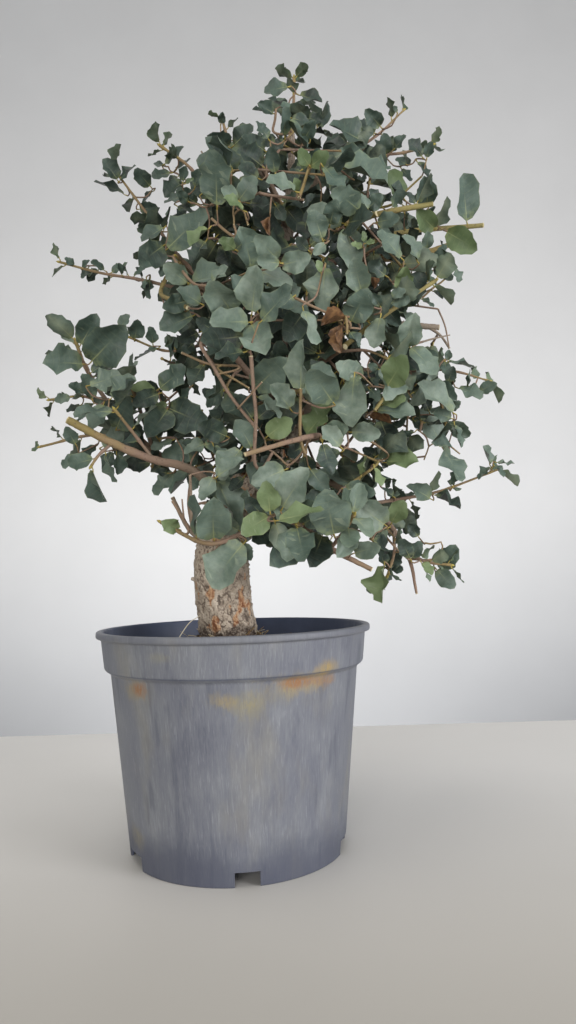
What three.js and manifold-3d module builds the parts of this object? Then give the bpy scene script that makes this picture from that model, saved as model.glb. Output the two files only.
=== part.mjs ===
// Cork oak bonsai (Quercus suber) in a plastic nursery pot. Millimetres, +Z up.
// The origin is the centre of the pot's base, on the surface that it stands on.
// +X is to the right and -Y is towards the front.
import * as THREE from 'three';
import { mergeVertices } from 'three/addons/utils/BufferGeometryUtils.js';
import Module from 'manifold-3d';

const wasm = await Module();
wasm.setup();

const TAU = 2 * Math.PI;
const GAP = 0.3; // between neighbouring pieces

// Pot: a tapered wall with a wide band and a rolled lip, on a foot ring round a stepped base.
const POT_SIDES = 28;
const POT_HEIGHT = 156;
const RIM_RADIUS = 100;
const BAND_RADIUS = 96.4;
const BODY_TOP_RADIUS = 89.6;
const FOOT_RADIUS = 76.6;
const WALL = 2;
const LIP_HEIGHT = 5;
const BAND_BOTTOM = 129.5;
const SHOULDER_HEIGHT = 3;
const BASE_RADIUS = 52; // the disc that stands on the surface
const RAISED_FLOOR = 7; // the ring floor round that disc
const RISER = 5; // how far the step between the two floors slopes
const NOTCH_COUNT = 5;
const NOTCH_TURN = THREE.MathUtils.degToRad(8); // the front notch, to the right of the front
const NOTCH_HEIGHT = 9.5;
const NOTCH_DEPTH = 9;
const FRONT_NOTCH_WIDTH = 16;
const NOTCH_WIDTH = 32;

// Soil: it fills the pot up to below the band, and the trunk stands in a plain hole in it.
const SOIL_TOP = 141;
const SOIL_MOUND = 2.2;
const TRUNK_FOOT = [-5, 0]; // where the trunk stands, X and Y
const TRUNK_FOOT_RADIUS = 19.5;
const TRUNK_BURIED = 22;
const TRUNK_SIDES = 12;

// Trunk: points on its axis, with the radius at each.
const TRUNK = [
  [-5, 0, SOIL_TOP - TRUNK_BURIED, 19.5],
  [-5, 0, SOIL_TOP + 2, 19.5],
  [-6, 0, 152, 21.2],
  [-9, 0, 180, 19.6],
  [-10, 1, 212, 18.4],
  [-3, 4, 240, 17.4],
  [18, 7, 264, 14.5],
  [40, 8, 288, 12],
  [47, 6, 322, 10],
];
const LEADER = [
  [46, 7, 312, 10],
  [46, 4, 345, 8.4],
  [42, 0, 395, 6.6],
  [47, -3, 445, 5],
  [52, -1, 500, 3.4],
  [54, 0, 547, 1.9],
];
const BARK_RELIEF = 0.07; // share of the radius
const BARK_STEPS = 13;

// Limbs grown out of the trunk: points on the axis, then the radius at the start and at the end.
const LIMBS = {
  prunedLeft: [[[0, 2, 241], [-22, -38, 266], [-52, -50, 275], [-78, -58, 286], [-105, -62, 301]], 4.6, 3],
  lowLeft: [[[-2, 4, 243], [-30, 12, 272], [-62, 8, 292], [-90, 0, 322]], 4.4, 1.9],
  backLeft: [[[24, 8, 272], [-5, 45, 300], [-38, 72, 328]], 4.2, 1.8],
  highLeft: [[[44, 4, 352], [18, 3, 374], [-18, 0, 412]], 4.2, 1.9],
  upperLeft: [[[48, -2, 447], [20, 0, 457], [-14, -8, 484]], 3.4, 1.6],
  topLeft: [[[52, -1, 492], [26, 0, 508], [3, 0, 530]], 2.6, 1.4],
  topRight: [[[52, -1, 488], [82, -3, 505], [112, 0, 530]], 2.8, 1.4],
  backTop: [[[50, -2, 470], [66, 32, 487], [78, 60, 504]], 3, 1.4],
  frontTop: [[[49, -3, 462], [38, -38, 472], [28, -68, 480]], 3.2, 1.4],
  frontRightTop: [[[46, -4, 438], [80, -36, 440], [110, -60, 441]], 3.4, 2.2],
  rightTop: [[[45, -2, 425], [95, 4, 438], [140, 6, 438], [176, 4, 447]], 3.8, 2],
  deadStub: [[[43, 0, 388], [90, 2, 388], [133, 2, 383], [163, 0, 379]], 3.4, 2.1],
  deadTwig: [[[155, 1, 380], [164, 0, 372], [170, 0, 362]], 1.1, 0.8],
  backMiddle: [[[43, 2, 372], [28, 45, 386], [12, 82, 402]], 4, 1.8],
  rightMiddle: [[[46, 6, 326], [85, 0, 344], [150, 0, 347], [171, 0, 356]], 4.2, 0.9],
  frontRight: [[[45, 2, 346], [62, -36, 340], [84, -68, 344]], 3.6, 2],
  backRight: [[[45, 8, 318], [85, 46, 334], [114, 74, 350]], 4.2, 1.8],
  frontMiddle: [[[44, 4, 318], [24, -45, 326], [6, -80, 342]], 4, 1.8],
  frontPale: [[[40, 6, 290], [64, -52, 286], [54, -98, 277], [17, -112, 265]], 4, 2],
  backLow: [[[34, 8, 282], [58, 48, 284], [74, 88, 288]], 4.4, 1.8],
  rightLow: [[[36, 8, 284], [72, -8, 262], [112, -20, 230], [128, -20, 203], [133, -20, 176]], 4.4, 1],
  frontLow: [[[10, 4, 254], [38, -34, 240], [66, -58, 212], [97, -60, 194]], 4, 2],
  leftStub: [[[-16, 0, 214], [-31, -10, 228], [-43, -11, 252]], 2.1, 1.4],
  leftStubTwig: [[[-28, -8, 225], [-31, -11, 246], [-29, -10, 268]], 1.4, 1],
  leftKnot: [[[-20, 0, 190], [-33, -2, 192]], 3.4, 2],
};
const LIMB_SIDES = 4;
const LEADER_SIDES = 6;
const LEADER_STEPS = 7;

// Leafy shoots seen from the front: points on the stem, radii at its ends, then
// how many leaves it has along it and in the tuft at its tip, and the length of its largest leaf.
const SHOOTS = {
  top: [[[54, 0, 541], [56, 0, 562], [57, -1, 586]], 1.5, 0.8, 3, 4, 19],
  top_left_stub: [[[6, 0, 527], [2, 0, 541], [-1, 0, 555]], 1.3, 1, 2, 1, 12],
  top_right: [[[108, 0, 527], [125, 1, 540], [143, 1, 557]], 1.2, 0.6, 3, 1, 16],
  right_cluster: [[[104, 0, 522], [136, -6, 517], [164, -4, 525]], 1.4, 0.8, 3, 2, 18],
  upper_left: [[[-10, -7, 480], [-24, -14, 504], [-48, -16, 523]], 1.5, 0.9, 3, 3, 18],
  far_left_up: [[[-14, 0, 408], [-40, 0, 446], [-62, 0, 478], [-88, 0, 516]], 1.6, 0.8, 4, 2, 19],
  left_dark: [[[-8, -1, 402], [-30, -8, 432], [-50, -10, 446]], 1.5, 1, 3, 2, 31],
  left_long: [[[-17, 2, 411], [-67, 3, 425], [-98, 2, 431], [-130, 0, 440]], 1.5, 0.8, 4, 2, 14],
  left_high: [[[10, 2, 380], [-24, 12, 374], [-50, 10, 370], [-78, 8, 381]], 1.5, 0.8, 3, 2, 15],
  left_middle: [[[-87, 1, 318], [-108, -2, 352], [-117, -3, 376]], 1.8, 1.2, 4, 3, 28],
  left_outer: [[[-90, 1, 321], [-112, 5, 334], [-139, 4, 332]], 1.3, 0.7, 3, 2, 15],
  left_low: [[[-70, 6, 298], [-105, 2, 303], [-145, 1, 295]], 1.4, 0.9, 4, 1, 18],
  left_inner: [[[-60, 8, 291], [-66, -12, 318], [-72, -22, 338]], 1.5, 1, 3, 3, 26],
  left_front: [[[-50, -50, 275], [-62, -56, 292], [-72, -66, 306]], 1.3, 0.9, 2, 2, 27],
  left_hanging: [[[-76, -57, 285], [-84, -62, 276], [-88, -66, 268]], 1.2, 0.8, 2, 1, 24],
  right_cut_upper: [[[106, -57, 441], [128, -61, 443], [149, -61, 446]], 2.1, 1.8, 3, 0, 24],
  right_cut_long: [[[90, 3, 437], [130, -8, 451], [199, -8, 456]], 2, 1.8, 3, 0, 26],
  right_yellow: [[[80, -64, 343], [112, -66, 366], [150, -54, 394]], 1.9, 1.2, 4, 3, 25],
  right_outer: [[[138, 0, 347], [170, -8, 342], [198, -6, 334]], 1.2, 0.6, 4, 2, 16],
  right_droop: [[[118, 0, 346], [150, -24, 326], [158, -30, 296]], 1.5, 0.9, 4, 2, 26],
  right_long: [[[98, -14, 242], [124, -6, 246], [158, -4, 252], [202, -4, 267]], 1.6, 0.7, 4, 2, 20],
  right_bottom: [[[126, -20, 207], [140, -22, 199], [158, -22, 196]], 1.4, 0.8, 4, 2, 17],
  right_bottom_front: [[[118, -21, 222], [116, -34, 206], [110, -40, 190]], 1.2, 0.8, 2, 2, 23],
  front_yellow: [[[36, -33, 240], [8, -76, 218], [-12, -82, 214], [-39, -84, 228]], 1.7, 1.2, 4, 0, 30],
  front_bottom: [[[52, -47, 226], [50, -76, 224], [47, -98, 223]], 1.6, 1, 3, 3, 27],
  front_bottom_right: [[[70, -58, 209], [78, -74, 219], [84, -88, 229]], 1.4, 1, 2, 3, 23],
};

// Shoots that fill the rest of the crown, spread evenly over an egg round the leader. Each forks once:
// its side twig ends in a gap between its tip and its neighbours'.
const FILL_COUNT = 29;
const CROWN_CENTRE = [50, -4, 378];
const CROWN_RADII = [92, 98, 162];
const FILL_RADII = [1.6, 1];
const FILL_LEAVES = [0, 3];
const FILL_LEAF = [28, 35];
const FORK_AT = 0.45; // where the side twig leaves the shoot, as share of the shoot
const FORK_TURN = 0.75; // from the shoot's tip to the side twig's, round the egg
const FORK_DROP = 0.06; // and down, as share of half its height
const FORK_RADII = [1.2, 0.9];
const FORK_LEAVES = [0, 2];
const GOLDEN_TURN = Math.PI * (3 - Math.sqrt(5));

const STEM_SIDES = 3;
const STEM_STEPS = 3;

// Leaves: half outlines from the stalk to the tip, as share of the length and of the half width.
const OUTLINES = [
  {
    from: 30,
    left: [[0.08, 0.55], [0.42, 1], [0.56, 0.84], [0.76, 0.76]],
    right: [[0.14, 0.7], [0.5, 1], [0.76, 0.68]],
  },
  { from: 0, left: [[0.22, 0.9], [0.7, 0.8]], right: [[0.2, 0.86], [0.68, 0.84]] },
];
const LEAF_THICKNESS = 0.72;
const LEAF_SLENDERNESS = 0.35; // half width as share of the length
const STALK = 3.2;
const LEAF_HEART = 0.46; // where the folds of a blade meet, as share of its length
const GUARD = 0.35; // clear space kept round a blade
// Where a blade would touch another shoot it is turned about its stem, tilted and made smaller.
const TRIES = [
  [0, 0, 1],
  [0.6, 0.1, 1],
  [-0.6, 0.1, 1],
  [1.2, -0.2, 0.9],
  [-1.2, -0.2, 0.9],
  [2, 0.2, 0.8],
  [-2, 0.2, 0.8],
  [3.1, 0, 0.7],
];
const MIN_LEAF = 8;

const POT_COLOUR = 0x5f6272;
const SOIL_COLOUR = 0x33271d;
const BARK_COLOUR = 0x9a8872;
const LEAF_COLOUR = 0x5a705e;

function randomFrom(seed) {
  let state = seed >>> 0;
  return () => {
    state = (state + 0x6d2b79f5) >>> 0;
    let t = Math.imul(state ^ (state >>> 15), state | 1);
    t ^= t + Math.imul(t ^ (t >>> 7), t | 61);
    return ((t ^ (t >>> 14)) >>> 0) / 4294967296;
  };
}

function solidOf(geometry) {
  const plain = geometry.clone();
  plain.deleteAttribute('normal');
  plain.deleteAttribute('uv');
  const merged = mergeVertices(plain, 1e-4);
  const vertProperties = Float32Array.from(merged.attributes.position.array);
  const triVerts = Uint32Array.from(merged.index.array);
  return new wasm.Manifold(new wasm.Mesh({ numProp: 3, vertProperties, triVerts }));
}

function geometryOf(solid) {
  const { vertProperties, triVerts, numProp } = solid.getMesh();
  const positions = new Float32Array((vertProperties.length / numProp) * 3);
  for (let i = 0; i < positions.length / 3; i += 1) {
    positions.set(vertProperties.subarray(i * numProp, i * numProp + 3), i * 3);
  }
  const geometry = new THREE.BufferGeometry();
  geometry.setAttribute('position', new THREE.BufferAttribute(positions, 3));
  geometry.setIndex(new THREE.BufferAttribute(Uint32Array.from(triVerts), 1));
  const flat = geometry.toNonIndexed();
  flat.computeVertexNormals();
  return flat;
}

function meshOf(name, solid, colour, roughness) {
  const material = new THREE.MeshStandardMaterial({ color: colour, roughness, metalness: 0 });
  const mesh = new THREE.Mesh(geometryOf(solid), material);
  mesh.name = name;
  return mesh;
}

function facetedSolid(points, triangles) {
  const geometry = new THREE.BufferGeometry();
  const positions = points.flatMap((p) => [p.x, p.y, p.z]);
  geometry.setAttribute('position', new THREE.Float32BufferAttribute(positions, 3));
  geometry.setIndex(triangles.flat());
  return solidOf(geometry);
}

// A lathe round +Z of a closed outline of [radius, z] points.
function turned(outline, sides) {
  const points = outline.map(([r, z]) => new THREE.Vector2(r, z));
  const closed = points[0].x === 0 ? points : [...points, points[0].clone()];
  return new THREE.LatheGeometry(closed, sides).rotateX(Math.PI / 2);
}

function potSolid() {
  const bandInside = BAND_RADIUS - WALL;
  const outline = [
    [0, 0],
    [BASE_RADIUS, 0],
    [BASE_RADIUS + RISER, RAISED_FLOOR],
    [FOOT_RADIUS - WALL, RAISED_FLOOR],
    [FOOT_RADIUS - WALL, 0],
    [FOOT_RADIUS, 0],
    [BODY_TOP_RADIUS, BAND_BOTTOM - SHOULDER_HEIGHT],
    [BAND_RADIUS - 2.4, BAND_BOTTOM],
    [BAND_RADIUS, POT_HEIGHT - LIP_HEIGHT],
    [RIM_RADIUS, POT_HEIGHT - LIP_HEIGHT + 0.4],
    [RIM_RADIUS - 0.4, POT_HEIGHT],
    [bandInside + 0.6, POT_HEIGHT],
    [bandInside - 2.4, BAND_BOTTOM + 0.6],
    [BODY_TOP_RADIUS - WALL, BAND_BOTTOM - SHOULDER_HEIGHT - 0.6],
    [FOOT_RADIUS - WALL + 1.1, RAISED_FLOOR + WALL],
    [BASE_RADIUS + RISER - 1.2, RAISED_FLOOR + WALL],
    [BASE_RADIUS - 1.2, WALL],
    [0, WALL],
  ];
  let pot = solidOf(turned(outline, POT_SIDES));
  for (let i = 0; i < NOTCH_COUNT; i += 1) {
    const width = i === 0 ? FRONT_NOTCH_WIDTH : NOTCH_WIDTH;
    const notch = new THREE.BoxGeometry(width, NOTCH_DEPTH, 2 * NOTCH_HEIGHT);
    notch.translate(0, -(FOOT_RADIUS + 1.5 - NOTCH_DEPTH / 2), 0);
    notch.rotateZ(NOTCH_TURN + (i * TAU) / NOTCH_COUNT);
    pot = pot.subtract(solidOf(notch));
  }
  return pot;
}

function soilSolid() {
  const edge = BODY_TOP_RADIUS - WALL - 2 * GAP;
  const soilTopEdge = BAND_RADIUS - WALL - 2.4 - 4 * GAP;
  const soilFoot = FOOT_RADIUS - WALL + 0.4;
  const outline = [
    [0, WALL + GAP],
    [BASE_RADIUS - 2.4, WALL + GAP],
    [BASE_RADIUS + RISER - 2.4, RAISED_FLOOR + WALL + 2 * GAP],
    [soilFoot, RAISED_FLOOR + WALL + 2 * GAP],
    [edge - 0.6, BAND_BOTTOM - SHOULDER_HEIGHT - 0.6],
    [soilTopEdge, BAND_BOTTOM + 1.8],
    [soilTopEdge + 0.6, SOIL_TOP - 1.5],
    [62, SOIL_TOP + 0.4],
    [0, SOIL_TOP + 1.2],
  ];
  const geometry = turned(outline, POT_SIDES);
  const position = geometry.attributes.position;
  for (let i = 0; i < position.count; i += 1) {
    const [x, y, z] = [position.getX(i), position.getY(i), position.getZ(i)];
    const radius = Math.hypot(x, y);
    if (z > SOIL_TOP - 0.5 && radius > 1) {
      const lump = Math.sin(x * 0.11 + 1.3) * Math.cos(y * 0.13 - 0.4) + 0.5 * Math.sin(x * 0.31 - y * 0.27);
      position.setZ(i, z + SOIL_MOUND * 0.6 * lump);
    }
  }
  const hole = new THREE.CylinderGeometry(1, 1, 2 * TRUNK_BURIED, TRUNK_SIDES);
  hole.scale(TRUNK_FOOT_RADIUS + GAP + 0.6, 1, TRUNK_FOOT_RADIUS + GAP + 0.6);
  hole.rotateX(Math.PI / 2);
  hole.translate(TRUNK_FOOT[0], TRUNK_FOOT[1], SOIL_TOP - GAP);
  return solidOf(geometry).subtract(solidOf(hole));
}

// The world axis most square to a stem, which its sections are turned to.
function steadyAxis(points) {
  const chord = points.at(-1).clone().sub(points[0]);
  const shares = [Math.abs(chord.x), Math.abs(chord.y), Math.abs(chord.z)];
  const least = shares.indexOf(Math.min(...shares));
  return new THREE.Vector3(least === 0 ? 1 : 0, least === 1 ? 1 : 0, least === 2 ? 1 : 0);
}

function curveOf(rows) {
  const points = rows.map(([x, y, z]) => new THREE.Vector3(x, y, z));
  const curve = new THREE.CatmullRomCurve3(points, false, 'catmullrom', 0.5);
  return { curve, axis: steadyAxis(points) };
}

function directionAt(curve, t) {
  const before = curve.getPoint(Math.max(t - 0.01, 0));
  return curve.getPoint(Math.min(t + 0.01, 1)).sub(before).normalize();
}

function frameAt({ curve, axis }, t) {
  const along = directionAt(curve, t);
  const side = new THREE.Vector3().crossVectors(along, axis).normalize();
  const up = new THREE.Vector3().crossVectors(side, along);
  return { at: curve.getPoint(t), along, side, up };
}

// A closed tube along a stem. radiusAt gives the radius for a share of the length and an angle.
function tubeSolid(stem, steps, sides, radiusAt) {
  const points = [];
  for (let i = 0; i <= steps; i += 1) {
    const { at, side, up } = frameAt(stem, i / steps);
    for (let k = 0; k < sides; k += 1) {
      const angle = (k / sides) * TAU;
      const radius = radiusAt(i / steps, angle);
      const out = side.clone().multiplyScalar(Math.cos(angle) * radius);
      points.push(at.clone().add(out).addScaledVector(up, Math.sin(angle) * radius));
    }
  }
  const last = steps * sides;
  const triangles = [];
  for (let k = 0; k < sides; k += 1) {
    const next = (k + 1) % sides;
    for (let i = 0; i < steps; i += 1) {
      const [a, b] = [i * sides + k, i * sides + next];
      triangles.push([a, b + sides, b], [a, a + sides, b + sides]);
    }
    if (k > 0 && next > 0) {
      triangles.push([0, k, next], [last, last + next, last + k]);
    }
  }
  return facetedSolid(points, triangles);
}

function radiusAlong(rows, t) {
  const place = t * (rows.length - 1);
  const i = Math.min(Math.floor(place), rows.length - 2);
  return THREE.MathUtils.lerp(rows[i][3], rows[i + 1][3], place - i);
}

// The trunk is plain where it stands in the soil and ridged above it.
function barkRadius(t, angle) {
  const buried = t < 1.01 / (TRUNK.length - 1);
  const ridges = 0.6 * Math.sin(3 * angle + 9 * t) + 0.5 * Math.sin(5 * angle - 14 * t);
  const rings = 0.4 * Math.sin(31 * t);
  return radiusAlong(TRUNK, t) * (1 + (buried ? 0 : BARK_RELIEF * (ridges + rings)));
}

// The trunk, its leader and the limbs as separate solids, each made fatter by extra.
function woodPieces(extra) {
  const barkAt = (t, angle) => barkRadius(t, angle) + extra;
  const leaderAt = (t) => radiusAlong(LEADER, t) + extra;
  const limbs = Object.values(LIMBS).map(([rows, start, end]) => {
    const limbAt = (t) => THREE.MathUtils.lerp(start, end, t) + extra;
    return tubeSolid(curveOf(rows), rows.length, LIMB_SIDES, limbAt);
  });
  return [
    tubeSolid(curveOf(TRUNK), BARK_STEPS, TRUNK_SIDES, barkAt),
    tubeSolid(curveOf(LEADER), LEADER_STEPS, LEADER_SIDES, leaderAt),
    ...limbs,
  ];
}

function joined(solids) {
  return solids.reduce((whole, solid) => whole.add(solid));
}

// The body of a solid that holds a point's nearest corner, so that a cut leaves the outer end.
function bodyNearest(solid, point) {
  const distance = (body) => {
    const { vertProperties } = body.getMesh();
    let least = Infinity;
    for (let i = 0; i < vertProperties.length; i += 3) {
      const [x, y, z] = vertProperties.subarray(i, i + 3);
      least = Math.min(least, Math.hypot(x - point.x, y - point.y, z - point.z));
    }
    return least;
  };
  return solid.decompose().reduce((best, body) => (distance(body) < distance(best) ? body : best));
}

// A point at a height from -1 to 1 on the crown's egg, at a turn about its axis.
function eggPoint(height, turn, reach) {
  const flat = Math.sqrt(1 - height * height);
  return new THREE.Vector3(Math.cos(turn) * flat, Math.sin(turn) * flat, height)
    .multiply(new THREE.Vector3(...CROWN_RADII).multiplyScalar(reach))
    .add(new THREE.Vector3(...CROWN_CENTRE));
}

// The fill shoots: each runs from the nearest limb to its own place on the egg.
function fillShoots() {
  const limbPoints = [[LEADER], ...Object.values(LIMBS)].flatMap(([rows]) => {
    const { curve } = curveOf(rows);
    return [0.45, 0.6, 0.75, 0.88].map((t) => curve.getPoint(t));
  });
  const shoots = {};
  for (let i = 0; i < FILL_COUNT; i += 1) {
    const random = randomFrom(1000 + i);
    const height = 1 - (2 * (i + 0.5)) / FILL_COUNT;
    const reach = 0.86 + 0.22 * random();
    const turn = i * GOLDEN_TURN;
    const tip = eggPoint(height, turn, reach);
    const root = limbPoints.reduce((best, p) => (p.distanceTo(tip) < best.distanceTo(tip) ? p : best));
    const middle = root.clone().lerp(tip, 0.55);
    middle.z += (random() - 0.3) * 0.2 * root.distanceTo(tip);
    const leaf = THREE.MathUtils.lerp(FILL_LEAF[0], FILL_LEAF[1], random());
    const rows = [root, middle, tip].map((p) => p.toArray());
    const forkTip = eggPoint(Math.max(height - FORK_DROP, -1), turn + FORK_TURN, reach);
    const forkRows = [curveOf(rows).curve.getPoint(FORK_AT), forkTip].map((p) => p.toArray());
    const fork = [forkRows, ...FORK_RADII, ...FORK_LEAVES, leaf];
    shoots[`fill_${String(i + 1).padStart(2, '0')}`] = [rows, ...FILL_RADII, ...FILL_LEAVES, leaf, fork];
  }
  return shoots;
}

// A shoot's stem and then its side twigs.
function branchesOf(shoot) {
  return [shoot, ...shoot.slice(6)];
}

// Where a shoot's leaves stand: along the stem, then as a tuft at its tip.
function leafPlaces(shoot, random) {
  const [, , , along, tuft, largest] = shoot;
  const places = [];
  for (let i = 0; i < along + tuft; i += 1) {
    const inTuft = i >= along;
    const draws = Array.from({ length: 7 }, random);
    const t = inTuft ? 0.9 + (0.09 * (i - along + 1)) / tuft : 0.25 + (0.6 * (i + 0.6 * draws[0])) / along;
    const turn = inTuft ? ((i - along) / tuft) * TAU + draws[1] : i * 2.4 + draws[1];
    const lean = inTuft ? 0.75 + 0.5 * draws[2] : 1 + 0.35 * draws[2];
    const length = largest * (inTuft ? 0.62 + 0.36 * draws[3] : 0.7 + 0.3 * draws[3]);
    places.push({ t, turn, lean, length, fold: draws[4], bend: draws[5], light: draws[6] });
  }
  return places;
}

// A blade's own axes: out along it, across it, and its upper face, which turns to the light.
function leafFrame(place, [turn, lean, size]) {
  const { at, along, side, up } = frameAt(place.stem, place.t);
  const angle = place.turn + turn;
  const tilt = place.lean + lean;
  const out = side.clone().multiplyScalar(Math.cos(angle)).addScaledVector(up, Math.sin(angle));
  const axis = along.clone().multiplyScalar(Math.cos(tilt)).addScaledVector(out, Math.sin(tilt));
  const sky = at.clone().sub(new THREE.Vector3(...CROWN_CENTRE)).setZ(0).normalize();
  sky.z += 0.9;
  const face = along.clone().multiplyScalar(Math.sin(tilt)).addScaledVector(out, -Math.cos(tilt));
  face.addScaledVector(sky, 0.5 + 0.9 * place.light);
  face.addScaledVector(axis, -face.dot(axis)).normalize();
  const across = new THREE.Vector3().crossVectors(face, axis);
  return { at, axis, across, face, length: place.length * size, place };
}

// A point of a blade's middle surface, u along it and v across it, before its thickness.
function bladePoint(frame, u, v) {
  const { length, place } = frame;
  const halfWidth = length * LEAF_SLENDERNESS * (0.9 + 0.25 * place.bend);
  const fold = halfWidth * Math.abs(v) * (0.15 + 0.4 * place.fold);
  const droop = length * u * u * 0.3 * (place.bend - 0.35);
  const ripple = halfWidth * 0.12 * Math.abs(v) * Math.sin(9 * u + 6 * place.fold + (v > 0 ? 2 : 0));
  return frame.at.clone()
    .addScaledVector(frame.axis, STALK + length * u)
    .addScaledVector(frame.across, halfWidth * v)
    .addScaledVector(frame.face, fold - droop + ripple);
}

function bladeSolid(frame, guard = 0, root = frame.at) {
  const { left, right } = OUTLINES.find(({ from }) => frame.length >= from);
  const outside = 1 + guard / (frame.length * LEAF_SLENDERNESS);
  const rim = [
    root,
    ...left.map(([u, v]) => bladePoint(frame, u, -v * outside)),
    bladePoint(frame, 1 + guard / frame.length, 0),
    ...right.map(([u, v]) => bladePoint(frame, u, v * outside)).reverse(),
  ];
  const heart = bladePoint(frame, LEAF_HEART, 0);
  const half = frame.face.clone().multiplyScalar(LEAF_THICKNESS / 2 + guard);
  const upper = [heart, ...rim].map((p) => p.clone().add(half));
  const lower = [heart, ...rim].map((p) => p.clone().sub(half));
  const count = rim.length;
  const sheet = [[0, count, 2], [2, count, 1]];
  for (let i = 2; i < count; i += 1) {
    sheet.push([0, i, i + 1]);
  }
  const below = count + 1;
  const triangles = sheet.flatMap(([a, b, c]) => [[a, b, c], [below + a, below + c, below + b]]);
  for (let i = 1; i <= count; i += 1) {
    const next = (i % count) + 1;
    triangles.push([i, below + next, next], [i, below + i, below + next]);
  }
  return facetedSolid([...upper, ...lower], triangles);
}

function apart(a, b) {
  const [low, high] = [a.boundingBox().min, b.boundingBox().max];
  const [lowB, highB] = [b.boundingBox().min, a.boundingBox().max];
  return [0, 1, 2].some((k) => low[k] > high[k] || lowB[k] > highB[k]);
}

function crosses(solid, others) {
  return others.some((other) => !apart(solid, other) && solid.intersect(other).volume() > 1e-6);
}

// Each shoot's bare stem, cut back where it would enter the wood or an earlier stem.
function stemSolids(shoots) {
  const fatWood = woodPieces(GAP);
  const stems = {};
  const fatStems = [];
  for (const [name, shoot] of Object.entries(shoots)) {
    const curves = branchesOf(shoot).map(([rows]) => curveOf(rows));
    const tubes = (extra) => branchesOf(shoot).map(([rows, start, end], i) => {
      const radiusAt = (t) => THREE.MathUtils.lerp(start, end, t) + extra;
      return tubeSolid(curves[i], STEM_STEPS + (rows.length - 3), STEM_SIDES, radiusAt);
    });
    let solid = joined(tubes(0));
    for (const fat of [...fatWood, ...fatStems]) {
      if (!apart(solid, fat)) {
        solid = bodyNearest(solid.subtract(fat), curves[0].curve.getPoint(1));
      }
    }
    stems[name] = { curves, solid };
    fatStems.push(...tubes(GAP));
  }
  return stems;
}

function leafySolids(shoots, wood) {
  const stems = stemSolids(shoots);
  const placed = Object.entries(stems).map(([name, { solid }]) => ({ name, solid }));
  const sprays = {};
  Object.entries(shoots).forEach(([name, shoot], index) => {
    const { curves, solid } = stems[name];
    const random = randomFrom(index + 1);
    const places = branchesOf(shoot).flatMap((branch, i) => (
      leafPlaces(branch, random).map((place) => ({ ...place, stem: curves[i] }))
    ));
    const blades = [];
    for (const place of places) {
      const own = placed.filter((other) => other.name === name).map((other) => other.solid);
      const foreign = placed.filter((other) => other.name !== name).map((other) => other.solid);
      const isClear = (frame) =>
        !crosses(bladeSolid(frame, GUARD), [...foreign, ...wood]) &&
        !crosses(bladeSolid(frame, GUARD, bladePoint(frame, 0, 0)), own);
      const frames = TRIES.map((change) => leafFrame(place, change));
      const clear = frames.find((frame) => frame.length >= MIN_LEAF && isClear(frame));
      if (clear) {
        blades.push(bladeSolid(clear));
        placed.push({ name, solid: blades.at(-1) });
      }
    }
    sprays[name] = bodyNearest(joined([solid, ...blades]), curves[0].curve.getPoint(1));
  });
  return sprays;
}

function bonsai() {
  const group = new THREE.Group();
  const wood = woodPieces(0);
  group.add(meshOf('pot', potSolid(), POT_COLOUR, 0.6));
  group.add(meshOf('soil', soilSolid(), SOIL_COLOUR, 0.95));
  group.add(meshOf('trunk', joined(wood), BARK_COLOUR, 0.9));
  const sprays = leafySolids({ ...SHOOTS, ...fillShoots() }, wood);
  Object.entries(sprays).forEach(([name, solid]) => {
    group.add(meshOf(`spray_${name}`, solid, LEAF_COLOUR, 0.6));
  });
  return group;
}

const group = bonsai();

export default group;
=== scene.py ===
# Cork oak bonsai in a plastic nursery pot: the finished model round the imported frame.
# The tables and formulas are in millimetres, and the meshes in metres.
import itertools
import math

import bpy
import numpy as np
from mathutils import Matrix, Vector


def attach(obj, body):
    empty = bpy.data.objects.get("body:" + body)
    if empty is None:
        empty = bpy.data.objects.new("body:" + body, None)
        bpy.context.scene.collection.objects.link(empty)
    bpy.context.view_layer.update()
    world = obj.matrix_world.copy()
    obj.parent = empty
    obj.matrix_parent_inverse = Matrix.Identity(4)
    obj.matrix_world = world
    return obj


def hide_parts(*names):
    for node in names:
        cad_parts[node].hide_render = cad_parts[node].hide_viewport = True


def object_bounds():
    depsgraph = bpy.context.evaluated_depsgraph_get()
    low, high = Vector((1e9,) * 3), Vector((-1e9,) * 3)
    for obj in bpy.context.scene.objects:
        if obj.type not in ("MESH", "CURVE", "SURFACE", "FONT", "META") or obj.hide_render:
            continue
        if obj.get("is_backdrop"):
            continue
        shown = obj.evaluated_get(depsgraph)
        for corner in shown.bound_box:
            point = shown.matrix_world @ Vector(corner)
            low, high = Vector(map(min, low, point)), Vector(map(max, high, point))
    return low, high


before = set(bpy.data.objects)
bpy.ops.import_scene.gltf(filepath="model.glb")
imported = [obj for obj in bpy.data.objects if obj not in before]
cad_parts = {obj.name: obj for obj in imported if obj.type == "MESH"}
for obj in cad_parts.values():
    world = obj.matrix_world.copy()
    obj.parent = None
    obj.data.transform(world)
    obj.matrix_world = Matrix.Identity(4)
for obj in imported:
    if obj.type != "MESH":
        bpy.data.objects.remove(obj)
cad_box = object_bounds()

MM = 0.001
TAU = 2 * math.pi
X, Y, Z = np.eye(3)

# The camera, as fitted to the pot's rim, band and foot. Places in the picture are pixels of 576 x 1024.
EYE = np.array([42.2, -540.6, 191.3])
FOCUS = 720.0
PICTURE = (576, 1024)
PITCH = math.radians(5.1)
ROLL = math.radians(-1.66)

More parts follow.
